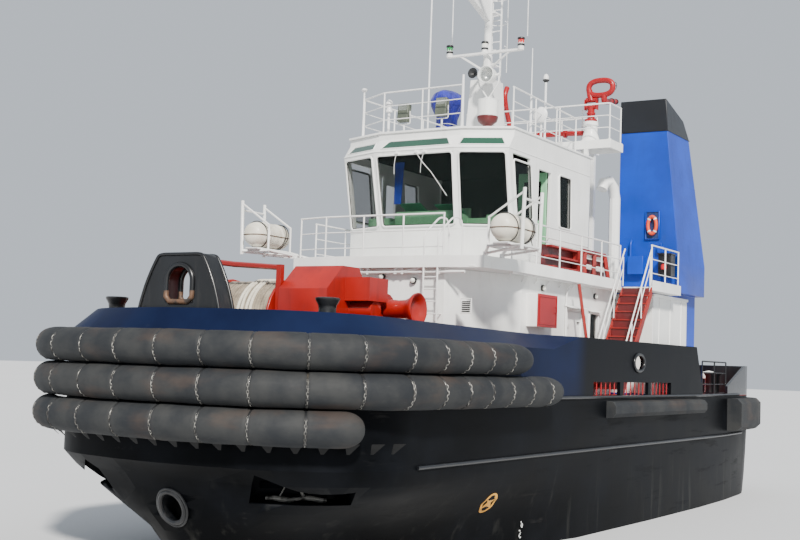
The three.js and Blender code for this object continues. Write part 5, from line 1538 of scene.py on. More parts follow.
@dataclass
class Mast(Assembly):
    """Mast with lanterns, ladder hoops, aerials and the gear along the roof edge."""

    x: float = 0.75
    arm_z: float = 12.88
    light: Point = (1.5, 0.45, 12.08)
    lanterns: tuple[tuple[float, str], ...] = ((-1.13, "green_lamp"), (0.0, "white_lamp"),
                                               (1.13, "red_lamp"))

    def build(self) -> None:
        """Dresses the mast and radars and adds its fittings."""
        self.dress("mast", "rail_enamel", bevel=0.006, smooth=45)
        for level in ("lower", "upper"):
            self.dress(f"radar_scanner_{level}", "dome_plastic", body=f"radar_{level}", bevel=0.03,
                       smooth=50)
        self.lights()
        self.ladder()
        self.aerials()
        self.floodlights()
        self.searchlight()

    def lights(self) -> None:
        """Navigation lanterns: black caps and bases round a ribbed lens."""
        cases = Surface()
        for y, lens in self.lanterns:
            foot = (self.x + 0.18, y, self.arm_z + 0.1)
            cases.lathe([(0, 0), (0.1, 0), (0.1, 0.05), (0.075, 0.06), (0.075, 0.18), (0.11, 0.19),
                         (0.1, 0.23), (0.04, 0.25), (0, 0.25)], foot, segments=20)
            glass = Surface().lathe([(0, 0.07), (0.086, 0.07), (0.09, 0.12), (0.086, 0.17),
                                     (0, 0.17)], foot, segments=24)
            self.put(f"lantern_lens_{lens}", glass, lens, smooth=50)
        self.put("lantern_cases", cases, "black_plastic", smooth=50)

    def ladder(self) -> None:
        """Safety hoops behind the mast ladder, joined by two flat bars, and side steps."""
        hoops, steps = Surface(), Surface()
        t = np.linspace(-np.pi / 2, np.pi / 2, 15)
        for z in np.arange(13.2, 16.1, 0.72):
            hoops.tube(oval((self.x - 0.44, 0, z), -0.36 * X, 0.304 * Y, t), 0.014, 6)
        for y in (-0.24, 0.24):
            hoops.tube([(self.x - 0.72, y, 12.5), (self.x - 0.72, y, 16.1)], 0.012, 6)
        self.put("ladder_hoops", hoops, "rail_enamel", smooth=60)
        for z in np.arange(13.5, 16.6, 0.45):
            steps.tube([(self.x, 0.1, z), (self.x, 0.3, z + 0.03)], 0.013, 6)
        self.put("mast_steps", steps, "rail_enamel", smooth=60)

    def aerials(self) -> None:
        """Whips on the roof edge and yard, a dome, a horn, a bell cap and a round dish."""
        whips, domes, dark = Surface(), Surface(), Surface()
        roof, dome, dish, horn = 10.1, (1.32, 2.1, 11.86), (1.6, 2.1, 10.84), (1.45, 0.0, 12.17)
        for x, y, z0, z1, r in ((3.6, -0.21, roof, 16.6, 0.026), (2.24, 2.12, roof, 11.25, 0.042),
                                (2.24, 2.12, 11.2, 12.5, 0.018), (3.6, -2.24, roof, 11.46, 0.035),
                                (4.24, 1.17, roof, 11.45, 0.045)):
            whips.tube([(x, y, z0), (x, y, z1)], np.array([r, r * 0.7]), 8)
        for y in (-1.2, 1.2):
            whips.tube([(self.x - 0.06, y, 13.3), (self.x - 0.06, y, 16.2)], 0.016, 6)
        self.put("aerial_whips", whips, "dome_plastic", smooth=60)
        domes.lathe([(0, 0), (0.07, 0), (0.075, 0.06), (0.05, 0.13), (0, 0.16)], dome, segments=20)
        domes.lathe([(0, 0), (0.06, 0.0), (0.085, 0.04), (0.05, 0.08), (0, 0.085)],
                    (3.6, -2.24, 11.43), segments=20)
        domes.lathe([(0, 0), (0.19, 0), (0.215, 0.03), (0.19, 0.06), (0, 0.075)], dish, Axis.X, 32)
        domes.rods([((1.32, 2.1, roof), dome), ((1.55, 2.1, roof), (1.55, 2.1, 10.9))], 0.032)
        domes.lathe([(0, 0), (0.035, 0), (0.035, 0.62), (0.09, 0.63), (0.09, 0.68), (0.065, 0.7),
                     (0.065, 0.82), (0.1, 0.84), (0.08, 0.92), (0.03, 0.96), (0, 0.97)],
                    (3.9, -1.24, roof), segments=20)
        self.put("aerial_domes", domes, "dome_plastic", smooth=60)
        dark.lathe([(0, -0.3), (0.03, -0.3), (0.04, -0.1), (0.09, 0.08), (0.15, 0.16),
                    (0.13, 0.165), (0, 0.05)], horn, Axis.X, 24)
        dark.lathe([(0, 0), (0.04, 0), (0.09, 0.05), (0.09, 0.07), (0, 0.08)], (1.32, 2.1, 11.78),
                   segments=20)
        self.put("horn_trumpet", dark, "black_plastic", smooth=60)
        arms = Surface().rods([((0.98, 0.0, 12.17), (1.2, 0.0, 12.17))], 0.035)
        self.put("horn_bracket", arms, "rail_enamel", smooth=60)

    def floodlights(self) -> None:
        """Grey-green floodlights on forked stands at the roof edge."""
        heads, lenses, forks = Surface(), Surface(), Surface()
        for x, y, z in ((3.85, -0.77, 10.68), (3.95, 0.43, 10.73)):
            at = np.array([x, y, z])
            heads.plate(rectangle(at + (0.16, -0.16, -0.23), at + (0.1, 0.16, 0.24), 1),
                        (-0.18, 0, -0.03))
            lenses.plate(rectangle(at + (0.108, -0.12, 0.05), at + (0.1, 0.12, 0.2), 1),
                         (0.024, 0, 0.002))
            forks.tube([(x + 0.03, y, 10.12), (x + 0.03, y, z - 0.3)], 0.025, 8)
            fork = [at + (0.05, -0.185, 0.03), at + (0.03, -0.185, -0.3),
                    at + (0.03, 0.185, -0.3), at + (0.05, 0.185, 0.03)]
            forks.tube(rounded(fork, 0.05), 0.014, 6)
        self.put("floodlight_heads", heads, "olive_enamel", bevel=0.02)
        self.put("floodlight_lenses", lenses, "clear_glass", smooth=30)
        self.put("floodlight_forks", forks, "rail_enamel", smooth=60)

    def searchlight(self) -> None:
        """A deep drum with a flared glass, carried on pins in a V-shaped fork."""
        x, middle, pin = self.light
        centre, foot = self.light, (x, middle, 0)
        drum = [(0, -0.232), (0.12, -0.228), (0.19, -0.15), (0.215, -0.06), (0.225, 0.05),
                (0.238, 0.15), (0.238, 0.2), (0.222, 0.205), (0.205, 0.17), (0.18, 0.05),
                (0.1, -0.05), (0, -0.09)]
        lamp = Surface().lathe(drum, centre, Axis.X, 40)
        for y in (-1, 1):
            lamp.tube([(x, middle + y * 0.2, pin), (x, middle + y * 0.29, pin)], 0.028, 12)
        self.put("searchlight_drum", lamp, "white_enamel", body="light_lamp",
                 replaces=("searchlight_lamp",), smooth=45)
        bowl = Surface().lathe([(0, 0.0), (0.1, 0.02), (0.17, 0.09), (0.2, 0.17), (0.19, 0.175),
                                (0.0, 0.16)], centre, Axis.X, 36)
        self.put("searchlight_glass", bowl, "clear_glass", body="light_lamp", smooth=60)
        reflector = Surface().lathe([(0, -0.06), (0.08, -0.04), (0.16, 0.03), (0.19, 0.12),
                                     (0.185, 0.12), (0.15, 0.02), (0.07, -0.06), (0, -0.08)],
                                    centre, Axis.X, 32)
        self.put("searchlight_reflector", reflector, "bright_steel", body="light_lamp", smooth=60)
        fork = Surface()
        for y in (-1, 1):
            arm = middle + y * 0.315
            path = [(x, middle + y * 0.03, 11.46), (x, arm, 11.86), (x, arm, 12.12)]
            fork.tube(rounded(path, 0.12), 0.024)
            fork.disc(0.05, -0.02, 0.02, (x, arm, pin), Axis.Y, 16)
        fork.lathe([(0, 11.402), (0.128, 11.402), (0.128, 11.45), (0.06, 11.48), (0, 11.48)],
                   foot, segments=28)
        self.put("searchlight_fork", fork, "rail_enamel", body="light_yoke",
                 replaces=("searchlight_yoke",), smooth=50)
        dish = Surface().lathe([(0.0, 10.12), (0.12, 10.12), (0.12, 10.68), (0.26, 10.79),
                                (0.292, 10.9), (0.288, 10.93), (0.0, 10.93)],
                               foot, segments=40)
        self.put("searchlight_dish", dish, "dark_red_enamel", slot=Slot.FIRE, smooth=50)
        drum = Surface().lathe([(0, 10.94), (0.284, 10.94), (0.284, 11.37), (0.29, 11.375),
                                (0.29, 11.395), (0, 11.398)], foot, segments=48)
        self.put("searchlight_pedestal", drum, "white_enamel", smooth=45)


@dataclass
class FireMonitors(Assembly):
    """The red water cannon to port, its supply pipes, and the laid-up one under cloth."""

    foot: Point = (-1.45, 2.25, 0.0)
    loop_centre: Point = (-1.45, 2.53, 12.17)
    cover: Point = (-1.395, -2.48, 0.0)

    def build(self) -> None:
        """Makes the foot, the training body, the elevating loop and the cover."""
        self.dress("fire_deck", "white_enamel", bevel=0.01, smooth=35)
        self.foot_boot()
        self.body()
        self.barrel()
        self.supply()
        self.draped_cover()

    def foot_boot(self) -> None:
        """A white sleeve with two collars and a ring of bolts at the foot of the cannon."""
        x, y, _ = self.foot
        boot = Surface().lathe([(0.0, 10.59), (0.3, 10.59), (0.3, 10.62), (0.27, 10.64),
                                (0.19, 10.9), (0.185, 11.05), (0.22, 11.08), (0.22, 11.19),
                                (0.0, 11.195)], self.foot, segments=36)
        for bolt in oval((x, y, 10.62), 0.27 * X, 0.27 * Y, 12):
            boot.disc(0.018, 0, 0.03, bolt, segments=6)
        self.put("cannon_foot", boot, "white_enamel", smooth=45)

    def body(self) -> None:
        """Flanged column and bearing block that train round the upright axis."""
        x, y, _ = self.foot
        column = Surface().lathe(
            [(0, 11.203), (0.178, 11.203), (0.178, 11.255), (0.12, 11.27), (0.105, 11.34),
             (0.105, 11.4), (0.125, 11.41), (0.125, 11.46), (0.1, 11.48), (0.1, 11.6),
             (0.118, 11.64), (0.09, 11.69), (0, 11.705)], self.foot, segments=32)
        column.tube([(x, 2.1, 11.64), (x, 2.4, 11.64)], 0.082, 20)
        column.disc(0.085, -0.03, 0.03, (x, y, 11.55), Axis.X, 20)
        column.tube([(x, y, 11.36), (-1.6, y, 11.36)], 0.045, 14)
        for bolt in oval((x, y, 11.254), 0.15 * X, 0.15 * Y, 8):
            column.disc(0.014, 0, 0.022, bolt, segments=6)
        self.put("cannon_column", column, "fire_enamel", body="monitor_turret",
                 replaces=("monitor_body_port",), smooth=45)

    def barrel(self) -> None:
        """The closed pipe loop, its cheeks, and the barrel with a black ring and a nozzle."""
        red, black, wire = Surface(), Surface(), Surface()
        x, middle, high = self.loop_centre
        t = np.linspace(0, 2 * np.pi, 56, endpoint=False)
        c, s = (np.sign(wave) * np.abs(wave) ** 0.8 for wave in (np.cos(t), np.sin(t)))
        loop = np.stack([x + 0 * t, middle + 0.365 * c, high + 0.215 * s], 1)
        red.ring(loop, 0.08, 18)
        for y in (2.065, 2.415):
            red.plate(rectangle((-1.53, y, 11.545), (-1.37, y, 11.85), 0),
                      (0, 0.026 if y > 2.25 else 0.024, 0))
        red.tube(rounded([(x, 2.25, 11.81), (x, 2.2, 11.98), (x, 2.18, 12.13)], 0.08), 0.086, 16)
        red.tube(rounded([(x, 2.64, 11.99), (x, 2.64, 11.78), (-1.6, 2.64, 11.79),
                          (-2.05, 2.64, 11.88)], 0.12), 0.086, 18)
        red.tube([(-1.47, 2.09, 11.84), (-1.47, 2.44, 11.84)], 0.075, 16)
        along = unit(np.array([-1.08, 0.0, 0.19]))
        tip = np.array([-2.37, 2.64, 11.937])
        black.tube([tip - along * 0.40, tip - along * 0.33], 0.098, 24)
        black.tube([tip - along * 0.07, tip], np.array([0.085, 0.078]), 24)
        red.tube([tip - along * 0.33, tip - along * 0.07], np.array([0.078, 0.07]), 20)
        wire.ring(oval((-1.58, 2.905, 12.22), 0.055 * Y, 0.11 * Z, 30), 0.008, 6)
        wire.rods([((-1.58, 2.79, 12.22), (-1.58, 2.95, 12.22))], 0.012)
        self.put("cannon_loop", red, "fire_enamel", body="monitor_barrel",
                 replaces=("monitor_barrel_port",), smooth=55)
        self.put("cannon_rings", black, "black_plastic", body="monitor_barrel", smooth=50)
        self.put("cannon_handwheel", wire, "black_plastic", body="monitor_barrel", smooth=50)

    def supply(self) -> None:
        """Supply pipes on the fire deck: flanged elbows, valves, and the curved pipe amidships."""
        pipe, flange = Surface(), Surface()
        route = [(-1.8, 2.05, 10.6), (-1.8, 2.05, 10.95), (-1.8, 1.3, 10.98), (-1.8, 0.5, 10.98),
                 (-1.8, -0.45, 10.98), (-1.6, -0.45, 11.4), (-1.3, -0.42, 11.8),
                 (-1.2, -0.42, 12.15), (-1.35, -0.42, 12.4)]
        pipe.tube(rounded(route, 0.18), 0.075, 16)
        pipe.tube(rounded([(-1.3, -0.42, 11.8), (-1.1, -0.42, 11.75), (-0.98, -0.42, 11.9)], 0.1),
                  0.05, 12)
        for y in (1.3, 0.5, -0.2):
            flange.disc(0.125, -0.035, 0.035, (-1.8, y, 10.98), Axis.Y, 24)
        flange.disc(0.13, -0.02, 0.02, (-1.8, 2.05, 10.62), segments=24)
        self.put("supply_pipe", pipe, "fire_enamel", smooth=55)
        self.put("supply_flanges", flange, "fire_enamel", smooth=45)

    def draped_cover(self) -> None:
        """One sheet over the cannon.

        Its section is an oval whose half lengths follow the height from a wide shoulder to a
        tied waist; hanging folds are waves round it that deepen downwards, and lumps in the
        shoulder follow the ends of what it hides.
        """
        heights = np.array([10.6, 10.85, 11.1, 11.35, 11.6, 11.8, 12.0, 12.2, 12.35, 12.45, 12.5])
        long = np.array([0.44, 0.4, 0.34, 0.32, 0.33, 0.42, 0.53, 0.56, 0.5, 0.32, 0.02])
        wide = np.array([0.42, 0.38, 0.33, 0.3, 0.31, 0.38, 0.46, 0.47, 0.4, 0.24, 0.02])
        z = np.concatenate([np.linspace(10.6, 12.3, 50), np.linspace(12.32, 12.5, 12)])
        a, b = np.interp(z, heights, long)[:, None], np.interp(z, heights, wide)[:, None]
        t = np.linspace(0, 2 * np.pi, 150, endpoint=False)[None, :]
        zz = z[:, None]
        hang = np.clip((12.35 - zz) / 1.4, 0, 1)
        fold = (0.05 * np.sin(7 * t + 3 * zz) + 0.03 * np.sin(17 * t - 5 * zz)
                + 0.018 * np.sin(29 * t + 4 * zz))
        lump = 0.1 * np.exp(-((zz - 12.1) / 0.22) ** 2) * np.cos(2 * t - 0.5) * np.sin(3.1 * t)
        ring = 1 + (fold * (0.5 + 0.9 * hang) + lump) * (a > 0.05)
        sag = 0.05 * np.sin(3 * t + 1.0) * np.clip((12.5 - zz) * 3, 0, 1) * (zz > 12.0)
        x, y, _ = self.cover
        points = np.stack([x + a * ring * np.cos(t), y + b * ring * np.sin(t), zz + sag], 2)
        sheet = Surface().grid(points, caps=False)
        cloth = self.put("monitor_tarpaulin", sheet, "cover_cloth", replaces=("monitor_cover",),
                         smooth=80, outward=False)
        ties = Surface()
        s = np.linspace(0, 2 * np.pi, 40, endpoint=False)
        for level, grow in ((11.4, 1.08), (10.75, 1.07)):
            reach = (np.interp(level, heights, long) * grow, np.interp(level, heights, wide) * grow)
            ties.ring(np.stack([x + reach[0] * np.cos(s), y + reach[1] * np.sin(s),
                                level + 0.01 * np.sin(3 * s)], 1), 0.012, 6)
        self.put("tarpaulin_ties", ties, "dome_plastic", slot=Slot.ROPE, smooth=60)


@dataclass
class Funnel(Assembly):
    """Blue funnel to port, the lower intake casing to starboard and the white blocks below."""

    fore_x: float = -4.76
    cap_z: float = 11.47

    def build(self) -> None:
        """Cladding over the casings, the black cap, exhausts, the ring box and the lamp box."""
        for name in ("funnel", "air_intake_casing"):
            self.dress(name, "funnel_enamel", bevel=0.02, smooth=30)
        self.white_casings()
        self.cap()
        self.fittings()

    def white_casings(self) -> None:
        """White cladding round the lower block, 12 mm outside the steel, with a top ledge."""
        clad = Surface()
        for s in SIDES.values():
            for low, high in (((-6.42, 3.5 * s, 3.45), (-3.42, 3.512 * s, 6.36)),
                              ((-3.4, 1.52 * s, 3.45), (-3.388, 3.51 * s, 6.36)),
                              ((-6.42, 3.5 * s, 6.3), (-3.38, 3.56 * s, 6.38)),
                              ((-6.42, 3.5 * s, 3.42), (-3.38, 3.54 * s, 3.52))):
                clad.block(low, high)
            for x in (-5.9, -4.9, -3.95):
                clad.block((x - 0.03, 3.5 * s, 3.5), (x + 0.03, 3.53 * s, 6.32))
        self.put("casing_cladding", clad, "white_enamel", bevel=0.006, smooth=30)

    def cap(self) -> None:
        """Black cap: the funnel's own slopes carried 10 mm outside, and four exhaust pipes."""
        o, x, z = 0.01, self.fore_x, self.cap_z
        low = [(x + o, 1.85 - o, z), (x + o, 3.37 + o, z), (-6.75 - o, 3.37 + o, z),
               (-6.75 - o, 1.85 - o, z)]
        high = [(x + o, 1.85 - o, 12.46), (x + o, 3.30 + o, 12.46), (-6.70 - o, 3.18 + o, 12.11),
                (-6.70 - o, 1.85 - o, 12.11)]
        cap = Surface().grid(np.array([low, high]))
        self.put("funnel_cap", cap, "cap_enamel", bevel=0.015, smooth=30)
        self.put("cap_bead", Surface().ring(low, 0.018, 8), "black_enamel")
        pipes = Surface()
        for x, y, r in ((-5.2, 2.3, 0.2), (-5.2, 2.85, 0.2), (-5.95, 2.3, 0.14), (-5.95, 2.8, 0.1)):
            top = 12.46 - 0.18 * (self.fore_x - x) + 0.12
            pipes.lathe([(r, 11.9), (r, top), (r - 0.012, top), (r - 0.02, top - 0.3),
                         (0, top - 0.3)], (x, y, 0), segments=28)
        self.put("exhaust_pipes", pipes, "rusty_steel")
        seams = Surface()
        for z in (8.2, 9.9):
            rise = (z - 7.45) / 4.02
            out, aft = 3.8 - 0.43 * rise, -7.25 + 0.5 * rise
            seams.tube([(self.fore_x, 1.85, z), (self.fore_x, out, z), (aft, out, z)], 0.006, 6)
        self.put("funnel_seams", seams, "funnel_enamel", smooth=60)

    def fittings(self) -> None:
        """A recessed box with a lifebuoy, a valve box with pipes, and the sidelight screen."""
        box, frame, ring, bands = Surface(), Surface(), Surface(), Surface()
        y, z, x = 2.95, 8.55, self.fore_x + 0.012
        box.block((x, y - 0.2, z - 0.42), (x + 0.02, y + 0.22, z + 0.42))
        frame.ring(rectangle((x + 0.03, y - 0.2, z - 0.42), (x + 0.03, y + 0.22, z + 0.42), 1),
                   0.028, 8)
        buoy = (x + 0.09, y + 0.02, z), 0.13 * Y, 0.26 * Z
        ring.ring(oval(*buoy, 36), 0.055, 12)
        for a in (0.8, 2.35, 3.95, 5.5):
            bands.tube(oval(*buoy, a + np.linspace(-0.1, 0.1, 3)), 0.058, 12)
        self.put("ring_box", box, "navy_enamel")
        self.put("ring_box_frame", frame, "funnel_enamel", smooth=50)
        self.put("lifebuoy", ring, "buoy_plastic", smooth=60)
        self.put("lifebuoy_bands", bands, "dome_plastic", slot=Slot.RAFT, smooth=60)
        gear = Surface()
        gear.block((x, 2.25, 7.05), (x + 0.22, 2.75, 7.6))
        gear.tube(rounded([(x + 0.1, 2.3, 7.6), (x + 0.1, 2.3, 8.0), (x + 0.02, 2.3, 8.1)], 0.1),
                  0.035, 10)
        gear.tube([(x + 0.05, 3.25, 6.6), (x + 0.05, 3.25, 8.0)], 0.03, 10)
        gear.block((x, 3.15, 7.7), (x + 0.12, 3.35, 7.9))
        self.put("funnel_front_gear", gear, "funnel_enamel", bevel=0.012)
        screen = Surface()
        for s, lamp in ((1, "red_lamp"), (-1, "green_lamp")):
            screen.block((-4.58, s * 3.35, 6.95), (-4.2, s * 3.75, 7.6))
            screen.block((-4.62, s * 3.33, 7.6), (-4.15, s * 3.77, 7.64))
            glass = Surface().lathe([(0, 0), (0.08, 0), (0.085, 0.08), (0.07, 0.16), (0, 0.17)],
                                    (-4.14, s * 3.55, 7.15), segments=20)
            self.put(f"sidelight_{lamp}", glass, lamp, smooth=60)
        self.put("sidelight_screens", screen, "black_enamel", bevel=0.01, smooth=30)


@dataclass
class LifeRafts(Assembly):
    """Raft canisters with ribs, a closing band and black straps, on tube cradles."""

    place: Point = (5.95, 3.54, 7.26)
    radius: float = 0.334

    def build(self) -> None:
        """Makes both canisters, their bands and straps, and dresses the cradles."""
        x, y, z = self.place
        r = self.radius
        half = [(0, 0.722), (0.1, 0.718), (0.2, 0.69), (0.27, 0.63), (0.31, 0.53), (r - 0.008, 0.4),
                (r - 0.006, 0.31), (r + 0.004, 0.295), (r + 0.004, 0.265), (r - 0.006, 0.25),
                (r - 0.003, 0.06)]
        profile = [(a, -b) for a, b in half] + [(a, b) for a, b in reversed(half)]
        for side, s in SIDES.items():
            shell = Surface().lathe(profile, (x, s * y, z), Axis.X, 48)
            self.put(f"raft_canister_{side}", shell, "raft_plastic",
                     replaces=(f"life_raft_{side}",), smooth=50)
            quarters = ((1, 1, half[1:]), (-1, 1, half[:0:-1]), (-1, -1, half[1:]),
                        (1, -1, half[:0:-1]))
            outline = [(x + ahead * b, s * y + out * a, z - 0.02)
                       for ahead, out, quarter in quarters for a, b in quarter]
            band = Surface().ring(outline, 0.014, 8)
            self.put(f"raft_band_{side}", band, "rusty_steel", slot=Slot.RAFT, smooth=60)
            straps = Surface()
            for at, lean in ((0.36, 0.1), (0.44, 0.1), (-0.42, -0.05)):
                ring = oval((x - at, s * y, z), (r + 0.006) * Y, (-lean, 0, r + 0.006), 40)
                straps.ring(ring, 0.012, 6)
            straps.rods([((x - 0.3, s * (y + 0.3), z - 0.14), (x - 0.55, s * (y + 0.24), 6.9))],
                        0.012)
            self.put(f"raft_straps_{side}", straps, "black_plastic", smooth=60)
            self.dress(f"raft_cradle_{side}", "rail_enamel")


@dataclass
class Stairs(Assembly):
    """Red stairs with open treads, white handrails, and red trusses under the deck edge."""

    top: tuple[float, float] = (-2.27, 6.5)
    foot: tuple[float, float] = (-0.17, 3.42)

    def build(self) -> None:
        """Dresses the flights and adds nosings, shade plates, handrails and the slanted brace."""
        for side in SIDES:
            self.dress(f"bridge_stairs_{side}", "stair_enamel", bevel=0.006, smooth=30)
        rails, nosings, braces, shade_plates = Surface(), Surface(), Surface(), Surface()
        (tx, tz), (fx, fz) = self.top, self.foot
        for y in (3.035, 3.845):
            path = [(fx + 0.02, y, fz + 0.25), (fx + 0.02, y, fz + 1.0), (tx + 0.1, y, tz + 0.9),
                    (tx - 0.05, y, tz + 1.1)]
            rails.tube(rounded(path, 0.15), 0.021, 10)
            for k in (0.33, 0.66, 0.97):
                px, pz = fx + (tx - fx) * k, fz + (tz - fz) * k
                rails.tube([(px, y, pz + 0.12), (px, y, pz + 0.95)], 0.017, 8)
            rails.tube([(fx, y, fz + 0.6), (tx + 0.1, y, tz + 0.5)], 0.014, 8)
        for k in range(1, 13):
            px, pz = tx + 2.1 * k / 13, tz - 3.1 * k / 13
            nosings.block((px + 0.1, 3.04, pz - 0.035), (px + 0.135, 3.84, pz - 0.004))
            # Painted shade: a dark red plate behind each tread darkens the gaps between the open
            # treads.
            shade_plates.block((px - 0.07, 3.045, pz - 0.04), (px - 0.06, 3.835, pz + 0.2))
        braces.tube([(0.86, 3.0, 6.36), (0.5, 3.1, 4.9), (0.46, 3.1, 3.6)], 0.05, 4)
        self.put("stair_handrails", rails.mirrored(), "rail_enamel", smooth=60)
        self.put("stair_nosings", nosings.mirrored(), "stair_enamel")
        self.put("stair_shade_plates", shade_plates.mirrored(), "dark_red_enamel")
        self.put("deck_braces", braces.mirrored(), "stair_enamel")


@dataclass
class Deckhouse(Assembly):
    """Deckhouse and bridge deck: pipes, lamps, vent, door frames and cabinets."""

    wall_y: float = 2.652
    front_x: float = 5.812

    def build(self) -> None:
        """Dresses the house and adds its fittings."""
        for name in ("deckhouse", "bridge_deck"):
            self.dress(name, "white_enamel", bevel=0.012, smooth=32)
        for side in SIDES:
            self.dress(f"hose_cabinet_door_{side}", "fire_enamel", body=f"hose_door_{side}",
                       bevel=0.01)
            self.dress(f"deckhouse_door_{side}", "white_enamel", body=f"house_door_{side}",
                       bevel=0.012)
        self.pipes()
        self.lamps()
        self.openings()
        self.cabinets()

    def pipes(self) -> None:
        """Pipe runs under the bridge deck's front edge and down its corner, with clips."""
        runs = Surface()
        front = [(5.93, -2.3, 6.3), (5.95, 0.6, 6.3), (5.95, 1.2, 6.42), (5.95, 1.75, 6.44),
                 (5.86, 2.6, 6.44), (5.2, 2.72, 6.42)]
        runs.tube(rounded(front, 0.15), 0.035, 12)
        for y in (-1.6, -0.6, 0.4):
            runs.block((5.9, y - 0.03, 6.25), (5.975, y + 0.03, 6.41))
        for x in np.arange(4.4, -1.6, -0.75):
            runs.tube([(x, 2.72, 6.42), (x, 2.72, 6.3), (x, 2.67, 6.22)], 0.018, 8)
        runs.tube([(4.6, 2.86, 6.385), (-2.2, 2.86, 6.385)], 0.03, 10)
        runs.tube(rounded([(0.95, 2.69, 3.6), (0.95, 2.69, 6.1), (0.95, 2.8, 6.36)], 0.1), 0.026)
        self.put("house_pipes", runs.mirrored(), "rail_enamel", smooth=50)

    def lamps(self) -> None:
        """Round bulkhead lamps: a cast base with a guard ring and a milky lens."""
        bases, lenses = Surface(), Surface()
        places = [((self.front_x + 0.02, y, z), Axis.X, 1) for y, z in ((-0.05, 6.2), (0.85, 6.1))]
        places += [((x, s * (self.wall_y + 0.012), 6.15), Axis.Y, s)
                   for s in SIDES.values() for x in (2.4, -1.05)]
        for centre, axis, s in places:
            bases.lathe([(0, -0.012 * s), (0.085, -0.012 * s), (0.085, 0.03 * s), (0.07, 0.035 * s),
                         (0, 0.03 * s)], centre, axis, 20)
            lenses.lathe([(0, 0.03 * s), (0.06, 0.03 * s), (0.058, 0.07 * s), (0.03, 0.09 * s),
                          (0, 0.092 * s)], centre, axis, 20)
        self.put("bulkhead_lamps", bases, "black_plastic", smooth=50)
        self.put("bulkhead_lenses", lenses, "white_lamp", smooth=60)

    def openings(self) -> None:
        """Door frames, rain hoods, window rims with dark panes, and a louvred vent."""
        trim, dark = Surface(), Surface()
        y = self.wall_y + 0.012
        for x0, x1, z0, z1, r in ((-0.12, 0.86, 3.55, 5.7, 0.03), (-1.32, -0.68, 4.93, 5.67, 0.03)):
            rim = rectangle((x0, y, z0), (x1, y, z1), 0)
            trim.tube(rounded([*rim, rim[0]], 0.1), r, 8)
        for x0, x1, z, out, drop, thick in ((-0.25, 1.0, 5.78, 0.22, 0.06, 0.02),
                                            (-1.4, -0.6, 5.74, 0.1, 0.04, 0.015)):
            trim.plate(rectangle((x0, y, z), (x1, y + out, z - drop), 0), (0, 0, thick))
        trim = trim.mirrored()
        vent = Surface()
        for k in range(6):
            z = 5.38 + 0.045 * k
            vent.plate(rectangle((5.8, 2.19, z), (5.845, 2.41, z - 0.03), 1), (0, 0, 0.008))
        dark.block((-1.29, 2.6, 4.96), (-0.71, 2.615, 5.64))
        dark = dark.mirrored()
        trim.ring(rectangle((5.82, 2.16, 5.33), (5.82, 2.44, 5.67), 1), 0.018, 6)
        self.put("house_trim", trim, "white_enamel")
        self.put("house_vent", vent, "black_enamel")
        self.put("house_panes", dark, "cabin_glass")

    def cabinets(self) -> None:
        """A handle and a raised border on the hose cabinet doors, and dogs on the house doors."""
        for side, s in SIDES.items():
            gear = Surface()
            y = s * 2.984
            gear.ring(rectangle((2.22, y, 5.2), (3.23, y, 5.89), 0), 0.012, 6)
            gear.tube(rounded([(2.3, y, 5.5), (2.3, y + s * 0.05, 5.5), (2.3, y + s * 0.05, 5.65),
                               (2.3, y, 5.65)], 0.02), 0.01, 6)
            self.put(f"hose_door_trim_{side}", gear, "fire_enamel", body=f"hose_door_{side}",
                     smooth=50)
            dogs = Surface()
            for z in (3.9, 4.6, 5.35):
                dogs.block((0.0, s * 2.645, z), (0.13, s * 2.675, z + 0.03))
            self.put(f"door_dogs_{side}", dogs, "black_enamel", body=f"house_door_{side}")


@dataclass
class Anchors(Assembly):
    """Weathered anchor arms that show in each anchor recess."""

    place: Point = (12.35, 2.45, 1.72)

    def build(self) -> None:
        """Local axes are along the recess, outwards and up; points go through them."""
        axes = np.stack([unit(Y - X), unit(X + Y), Z])

        def at(points: Sequence[Point]) -> Array:
            """Local points in vessel coordinates."""
            return np.asarray(self.place) + np.asarray(points, float) @ axes

        arms = Surface()
        u = np.linspace(-0.62, 0.55, 30)
        arms.tube(at(np.stack([u, -0.3 + 0 * u, -0.24 + 0.02 * np.sin(9 * u)], 1)),
                  0.035 + 0.02 * np.abs(np.sin(5 * u)), 8)
        arms.tube(at([(-0.12, -0.33, 0.2), (0.02, -0.32, 0.02), (0.12, -0.3, -0.24)]), 0.035, 8)
        arms.tube(at([(-0.14, -0.33, 0.2), (-0.36, -0.32, -0.22)]), 0.014, 6)
        self.put("anchor_arms", arms.mirrored(), "chain_steel", smooth=50)


